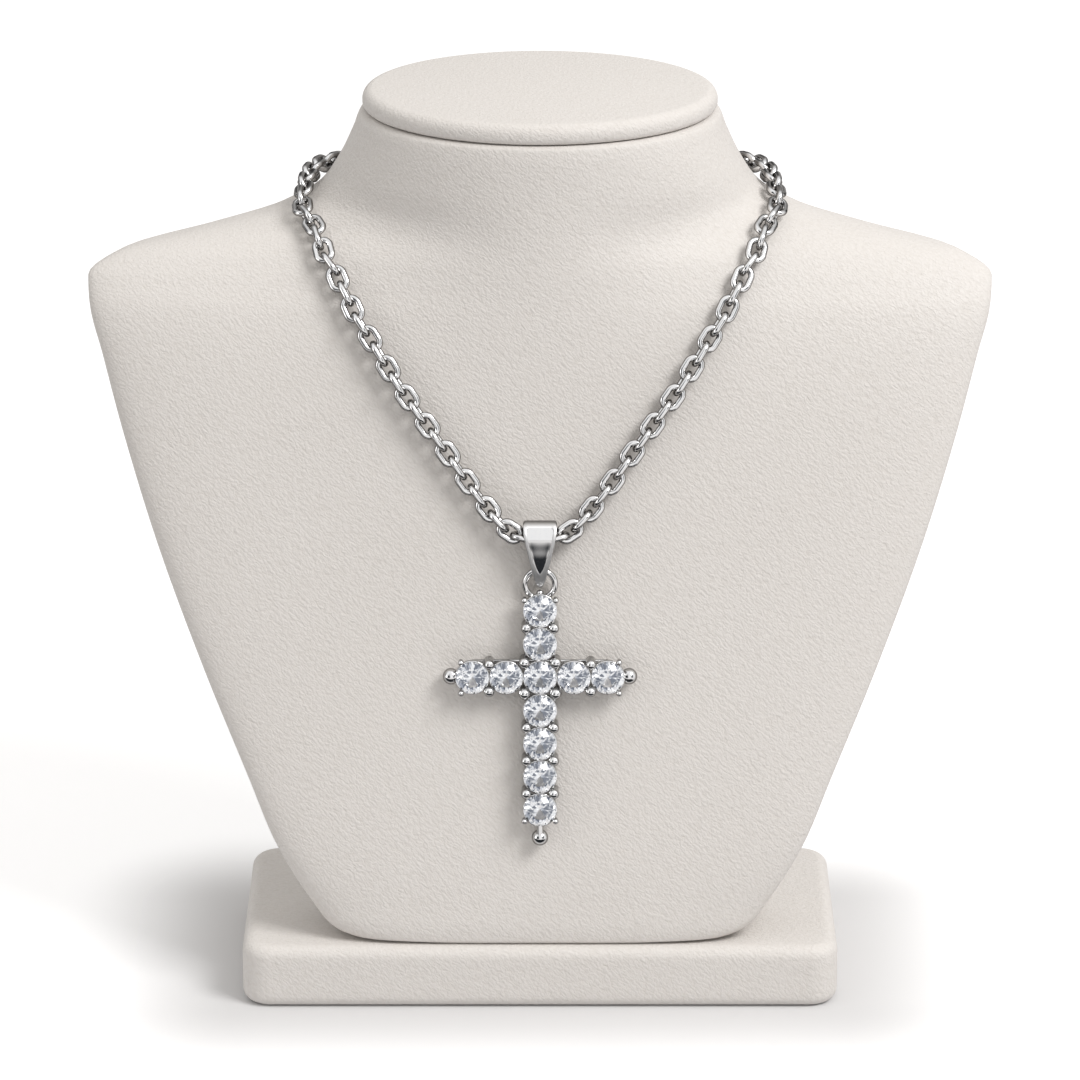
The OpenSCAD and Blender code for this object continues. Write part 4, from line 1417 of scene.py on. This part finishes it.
@dataclass
class ChainRoute:
    """Line of the chain over the bust and the frames of its links.

    A row holds the angle round the bust and the height share.
    """

    plan: PendantPlan
    link_l: float = 8.15
    wire: float = 1.45
    shown_wire: float = 1.78
    play: float = 0.45
    bunch_links: int = 4
    bunch_step: float = 0.45
    clasp_l: float = 20.0
    clasp_eye_wire: float = 1.3
    clasp_slack: float = 0.5
    steps: int = 30
    frame_step: float = 0.4
    lift_rows: float = 2.0
    rows: tuple = (
        (4.4, 0.527), (8.6, 0.568), (13.8, 0.637), (18.8, 0.706), (23.2, 0.777), (28.0, 0.834), (41.5, 0.862),
        (59.5, 0.878), (78, 0.892), (95, 0.899), (112, 0.903), (132, 0.903), (156, 0.901), (180, 0.900),
    )

    def __post_init__(self) -> None:
        """Works out the line's length and the links' spacing."""
        shape, plan = self.plan.shape, self.plan
        start = plan.on_chest((0, plan.chain_y, 0))
        rows = [(0.0, (start[2] - shape.foot_z) / shape.height)] + list(self.rows)
        self.last = len(rows) - 1
        self.table = np.array([(-rows[1][0], rows[1][1])] + rows + [(360 - rows[-2][0], rows[-2][1])])
        self.usual_lift = plan.link_w / 2 + plan.rest_gap
        spots = np.array([self.point(k / self.steps) for k in range(self.last * self.steps + 1)])
        self.lengths = np.concatenate([[0.0], np.cumsum(np.linalg.norm(np.diff(spots, axis=0), axis=1))])
        eye_r = self.wire / 2 + self.clasp_slack + self.clasp_eye_wire / 2
        eye_x = self.clasp_l / 2 - eye_r - self.clasp_eye_wire / 2
        reach = eye_x + self.link_l / 2 - self.wire / 2 + self.clasp_slack / 2
        room = float(self.lengths[-1]) - reach + self.bunch_links * self.bunch_step
        self.count = math.ceil(room / (self.link_l - 2 * self.wire - self.play))
        self.pitch = room / self.count

    def angles(self, u: float) -> np.ndarray:
        """Gives the angle and the height share at a place along the rows, smoothly between them.

        Args:
            u: the place, 0 at the first row and 1 at the next.

        Returns:
            The angle and the share.
        """
        i = min(self.last - 1, int(math.floor(u)))
        f = u - i
        a, b, c, d = self.table[i:i + 4]
        bend, twist = 2 * a - 5 * b + 4 * c - d, 3 * b - a - 3 * c + d
        return 0.5 * (2 * b + (c - a) * f + bend * f * f + twist * f**3)

    def point(self, u: float) -> np.ndarray:
        """Gives the line's point at a place along the rows.

        Args:
            u: the place.

        Returns:
            The point in millimetres.
        """
        angle, share = self.angles(u)
        near = max(0.0, 1 - u / self.lift_rows)
        lift = self.usual_lift + (self.plan.bail_axis_z - self.usual_lift) * near * near * (3 - 2 * near)
        return self.plan.shape.point(angle, share) + lift * self.plan.shape.normal(angle, share)

    def at(self, s: float) -> float:
        """Gives the place along the rows at a length along the line."""
        return float(np.interp(s, self.lengths, np.arange(len(self.lengths)) / self.steps))

    def frames(self, first: int, side: Side) -> np.ndarray:
        """Gives the links' middles, their directions and their outward directions.

        Args:
            first: number of the first link.
            side: the side of the necklace.

        Returns:
            Three arrays of vectors.
        """
        flip, mirror = np.array([side.value, 1, 1]), np.array([-1, 1, 1])
        rows = []
        for i in range(first, self.count + 1):
            s = i * self.pitch - self.bunch_step * min(i, self.bunch_links)
            u = self.at(s)
            behind = self.point(self.at(abs(s - self.frame_step))) * (mirror if s < self.frame_step else 1)
            ahead = self.point(self.at(s + self.frame_step)) - behind
            along = ahead / np.linalg.norm(ahead)
            raw = self.plan.shape.normal(*self.angles(u))
            out = raw - raw.dot(along) * along
            rows.append((self.point(u) * flip, along * flip, out / np.linalg.norm(out) * flip))
        return np.array(rows).transpose(1, 0, 2)


@dataclass
class CableChain:
    """Cable chain: every second link stands on edge."""

    route: ChainRoute
    finish: Material
    sides: int = 14
    end_steps: int = 10
    bend_share: float = 0.4999
    sway: float = 0.05
    seed: int = 5

    def __post_init__(self) -> None:
        """Builds the tree that sets links along a row of points."""
        self.tree, w, given, end = TreeMaker.group(
            "Geometry", "links_in_a_row", ("Geometry",),
            Geometry=("Geometry",), Float=("Link length", "Link width", "Wire", "Sway"),
            Int=("Wire sides", "End steps", "First on edge", "Seed"), Material=("Finish",),
        )
        sizes = {name: w.math("SUBTRACT", given[f"Link {size}"], given["Wire"])
                 for name, size in (("Width", "length"), ("Height", "width"))}
        box = w.out("GeometryNodeCurvePrimitiveQuadrilateral", sizes, mode="RECTANGLE")
        bend_r = w.math("MULTIPLY", sizes["Height"], self.bend_share)
        bends = {"Curve": box, "Count": given["End steps"], "Radius": bend_r}
        loop = w.out("GeometryNodeFilletCurve", bends, mode="POLY")
        wire = {"Resolution": given["Wire sides"], "Radius": w.math("MULTIPLY", given["Wire"], 0.5)}
        profile = w.out("GeometryNodeCurvePrimitiveCircle", wire, mode="RADIUS")
        link = w.out("GeometryNodeCurveToMesh", {"Curve": loop, "Profile Curve": profile})
        along, out = w.marked("along"), w.marked("out")
        number = w.math("ADD", w.out("GeometryNodeInputIndex"), given["First on edge"])
        edge = w.math("MODULO", number, 2.0)
        ways = {0: edge, 4: out, 5: w.vector("CROSS_PRODUCT", along, out)}
        facing = {0: along, 1: w.add("ShaderNodeMix", ways, data_type="VECTOR").outputs[1]}
        turn = w.out("FunctionNodeAxesToRotation", facing, primary_axis="X", secondary_axis="Z")
        chance = {2: w.math("MULTIPLY", given["Sway"], -1.0), 3: given["Sway"], "Seed": given["Seed"]}
        drawn = w.add("FunctionNodeRandomValue", chance, data_type="FLOAT").outputs[1]
        roll = w.out("FunctionNodeEulerToRotation", {0: w.xyz(X=drawn)})
        settled = w.out("FunctionNodeRotateRotation", {0: turn, 1: roll}, rotation_space="LOCAL")
        spread = {"Points": given["Geometry"], "Instance": link, "Rotation": settled}
        w.close(end, w.out("GeometryNodeInstanceOnPoints", spread), given["Finish"])

    def build(self, side: Side, first: int) -> None:
        """Builds one side of the chain.

        Args:
            side: the side.
            first: number of its first link.
        """
        route = self.route
        middles, alongs, outs = route.frames(first, side)
        lengths = {"Link length": route.link_l, "Link width": route.plan.link_w, "Wire": route.shown_wire}
        values = {name: length * MM for name, length in lengths.items()} | {
            "Wire sides": self.sides, "End steps": self.end_steps, "First on edge": first, "Sway": self.sway,
            "Seed": self.seed + side.value, "Finish": self.finish,
        }
        mesh = MeshWorks.outwards(Grower.grow(self.tree, values, middles, along=alongs, out=outs))
        label = side.name.lower()
        MeshWorks.show(f"chain_links_{label}", mesh, self.finish, Slot.METAL, f"chain_{label}")


@dataclass
class RingWire:
    """Round wire ring between the bail and the cross."""

    plan: PendantPlan
    finish: Material
    steps: int = 96
    sides: int = 24

    def tree(self) -> Tree:
        """Builds the tree that sweeps a circle along a circle.

        Returns:
            The tree.
        """
        tree, w, given, end = TreeMaker.group(
            "Geometry", "wire_ring", ("Geometry",), Geometry=("Geometry",),
            Float=("Ring radius", "Wire radius"), Int=("Steps", "Sides"), Material=("Finish",),
        )
        circle = "GeometryNodeCurvePrimitiveCircle"
        path, wire = (
            w.out(circle, {"Resolution": given[count], "Radius": given[radius]}, mode="RADIUS")
            for count, radius in (("Steps", "Ring radius"), ("Sides", "Wire radius"))
        )
        swept = w.out("GeometryNodeCurveToMesh", {"Curve": path, "Profile Curve": wire})
        w.close(end, swept, given["Finish"])
        return tree

    def build(self) -> None:
        """Builds the ring."""
        p = self.plan
        values = {
            "Ring radius": p.ring_r * MM, "Wire radius": p.ring_wire / 2 * MM, "Steps": self.steps,
            "Sides": self.sides, "Finish": self.finish,
        }
        mesh = MeshWorks.outwards(Grower.grow(self.tree(), values, np.zeros((1, 3))))
        tilt = Matrix.Rotation(math.radians(p.ring_lean), 4, "X")
        mesh.transform(p.matrix() @ Matrix.Translation((0, p.ring_y * MM, p.ring_z * MM)) @ tilt)
        MeshWorks.show("ring_wire", mesh, self.finish, Slot.METAL, "jump_ring")


@dataclass(frozen=True)
class MirroredRoom:
    """Room of bright panels round a dark opening in front, which only polished pieces mirror."""

    opening: tuple = (-0.68, -0.73, 0.06)
    reach: tuple = (27.0, 15.0)
    dark: tuple = (0.02, 0.022, 0.026, 1.0)
    gap: tuple = (0.12, 0.125, 0.135, 1.0)
    panel: tuple = (1.05, 1.05, 1.05, 1.0)
    panels: float = 5.0
    panel_turn: float = 0.9
    gap_edges: tuple = (0.05, 0.75)
    gap_heights: tuple = (0.9, 0.3)

    def colour(self, w: Wiring, way: Socket) -> Socket:
        """Wires the room.

        Args:
            w: the wiring of the room's tree.
            way: socket with the direction that is looked at.

        Returns:
            The colour socket.
        """
        toward = {0: way, 1: Vector(self.opening).normalized()}
        facing = w.add("ShaderNodeVectorMath", toward, operation="DOT_PRODUCT").outputs["Value"]
        opened = w.ramp(facing, *(math.cos(math.radians(a)) for a in self.reach))
        parts = w.parts(way)
        turn = w.math("MULTIPLY_ADD", w.math("ARCTAN2", parts["X"], parts["Y"]), self.panels, self.panel_turn)
        share = w.ramp(w.math("COSINE", turn), *self.gap_edges)
        low = w.ramp(parts["Z"], *self.gap_heights, "LINEAR")
        return w.mix(opened, w.mix(w.math("MULTIPLY", share, low), self.panel, self.gap), self.dark)


@dataclass
class Studio:
    """Floor, lights, surroundings and camera."""

    target: tuple = (0.0, 0.0, 0.1246)
    distance: float = 1.595
    elevation: float = 18.75
    lens: float = 191.2
    sensor_mm: float = 36.0
    clip: tuple = (0.05, 30.0)
    room: tuple = ((0.0, 0.10), (0.50, 0.12), (0.56, 0.16), (0.68, 0.42), (0.85, 0.85), (1.0, 1.0))
    room_tint: tuple = (1.0, 0.975, 0.94)
    room_strength: float = 0.95
    backdrop: tuple = (1.0, 1.0, 1.0, 1.0)
    floor_edges: tuple = (-3.0, 3.0, -0.75, 5.0, 0.0)
    # strength of the floor's painted glow that whitens it away from the stand
    painted_floor_glow: float = 0.5
    card_edges: tuple = (-0.42, 0.16, -0.30, -0.065, 0.002)
    card_fade: tuple = (-0.30, -0.21)
    lamps: tuple = (
        ("key_box", (1.08, -0.88, 1.54), 0.8, 25.5, (1.0, 0.987, 0.972)),
        ("fill_box", (-1.3, -0.7, 0.25), 0.6, 2.2, (1.0, 0.985, 0.97)),
    )
    lamp_aim: tuple = (0.0, 0.0, 0.12)
    metals: MirroredRoom = MirroredRoom()
    stones: MirroredRoom = MirroredRoom(
        opening=(-0.10, -0.95, 0.30), reach=(21.0, 13.0), dark=(0.14, 0.16, 0.205, 1.0),
        gap=(0.47, 0.495, 0.55, 1.0),
    )

    def sheet(self, name: str, edges: tuple, material: Material) -> Any:
        """Lays a flat sheet that belongs to the studio.

        Args:
            name: its name.
            edges: its left, right, near and far edge and its height, in metres.
            material: its finish.

        Returns:
            The sheet's object.
        """
        left, right, near, far, z = edges
        mesh = bpy.data.meshes.new(name)
        corners = [(left, near, z), (right, near, z), (right, far, z), (left, far, z)]
        mesh.from_pydata(corners, [], [(0, 1, 2, 3)])
        mesh.materials.append(material)
        sheet = bpy.data.objects.new(name, mesh)
        bpy.context.scene.collection.objects.link(sheet)
        return sheet

    def sheets(self) -> None:
        """Lays the floor and a dark card before the base, which only the polished metal mirrors."""
        self.sheet("floor", self.floor_edges, StudioFloor(lift=self.painted_floor_glow).build())
        finish = StudioFloor("dark_card", dark_from=self.card_fade).build()
        card = self.sheet("dark_card", self.card_edges, finish)
        card.visible_camera = card.visible_diffuse = card.visible_shadow = card.visible_transmission = False

    def lamp(self, name: str, place: tuple, size: float, power: float, colour: tuple) -> None:
        """Hangs one square soft box that faces the object.

        Args:
            name: its name.
            place: where it hangs, in metres.
            size: its side.
            power: its power in watts.
            colour: its colour.
        """
        data = bpy.data.lights.new(name, "AREA")
        data.shape = "RECTANGLE"
        data.size = data.size_y = size
        data.energy = power
        data.color = colour
        lamp = bpy.data.objects.new(name, data)
        lamp.location = place
        lamp.rotation_euler = (Vector(self.lamp_aim) - Vector(place)).to_track_quat("-Z", "Y").to_euler()
        lamp.visible_camera = False
        bpy.context.scene.collection.objects.link(lamp)

    def room_light(self, w: Wiring, way: Socket) -> Socket:
        """Makes the soft room that lights the stand: dim at eye height and bright overhead.

        Args:
            w: the wiring of the room's tree.
            way: socket with the direction that is looked at.

        Returns:
            The colour socket.
        """
        ramp = w.add("ShaderNodeValToRGB", {"Fac": w.math("MULTIPLY_ADD", w.parts(way)["Z"], 0.5, 0.5)})
        elements = ramp.color_ramp.elements
        for height, _ in self.room[1:-1]:
            elements.new(height)
        for element, (_, tone) in zip(elements, self.room):
            element.color = (*(tone * c for c in self.room_tint), 1)
        return ramp.outputs["Color"]

    def surroundings(self) -> None:
        """Sets the room round the object and a pale backdrop for the camera."""
        world = bpy.data.worlds.new("room")
        bpy.context.scene.world = world
        world.use_nodes = True
        w = Wiring(world.node_tree)
        way = w.add("ShaderNodeTexCoord").outputs["Generated"]
        ray = w.add("ShaderNodeLightPath").outputs
        mirrored = w.mix(ray["Is Glossy Ray"], self.room_light(w, way), self.metals.colour(w, way))
        lit = w.mix(ray["Is Transmission Ray"], mirrored, self.stones.colour(w, way))
        colour = w.mix(ray["Is Camera Ray"], lit, self.backdrop)
        w.feed(world.node_tree.nodes["Background"], {"Color": colour, "Strength": self.room_strength})

    def camera(self) -> None:
        """Places the camera at the photo's viewing angle."""
        data = bpy.data.cameras.new("camera")
        data.lens = self.lens
        data.sensor_width = self.sensor_mm
        data.clip_start, data.clip_end = self.clip
        camera = bpy.data.objects.new("camera", data)
        e = math.radians(self.elevation)
        target = Vector(self.target)
        camera.location = target + self.distance * Vector((0, -math.cos(e), math.sin(e)))
        camera.rotation_euler = (target - camera.location).to_track_quat("-Z", "Y").to_euler()
        bpy.context.scene.collection.objects.link(camera)
        bpy.context.scene.camera = camera

    def build(self) -> None:
        """Sets up the whole studio."""
        self.sheets()
        for lamp in self.lamps:
            self.lamp(*lamp)
        self.surroundings()
        self.camera()
        view = bpy.context.scene.view_settings
        view.view_transform = "Standard"
        view.look = "None"


def main() -> None:
    """Builds the pieces in order and reports each one."""
    logging.basicConfig(level=logging.INFO, format="%(name)s %(message)s")
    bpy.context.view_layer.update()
    Studio().build()
    leatherette = Leatherette().build()
    metal = PolishedMetal().build()
    satin = PolishedMetal("satin_plating", gloss=0.42, haze=0.1).build()
    # the chain's wire is painted darker still at its grazing rims, as painted shade
    painted_rim_shade = (0.10, 0.092, 0.085, 1.0)
    drawn = PolishedMetal("drawn_wire_plating", gloss=0.11, edge=painted_rim_shade, grazing_shade_to=0.60).build()
    shape = BustShape()
    BaseSlab(leatherette).build()
    bust = NeckBust(shape, leatherette)
    bust.torso()
    bust.cap()
    plan = PendantPlan(shape)
    scatter = Scatter()
    CrossSetting(plan, metal, scatter).build()
    CutStones(plan, ClearStone().build()).build(scatter)
    BailLoop(plan, metal, satin).build()
    RingWire(plan, metal).build()
    chain = CableChain(ChainRoute(plan), drawn)
    chain.build(Side.LEFT, 0)
    chain.build(Side.RIGHT, 1)
    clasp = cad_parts["clasp"]
    clasp.data.materials.clear()
    clasp.data.materials.append(metal)
    log.info("clasp: kept from the frame")


if __name__ == "__main__":
    main()
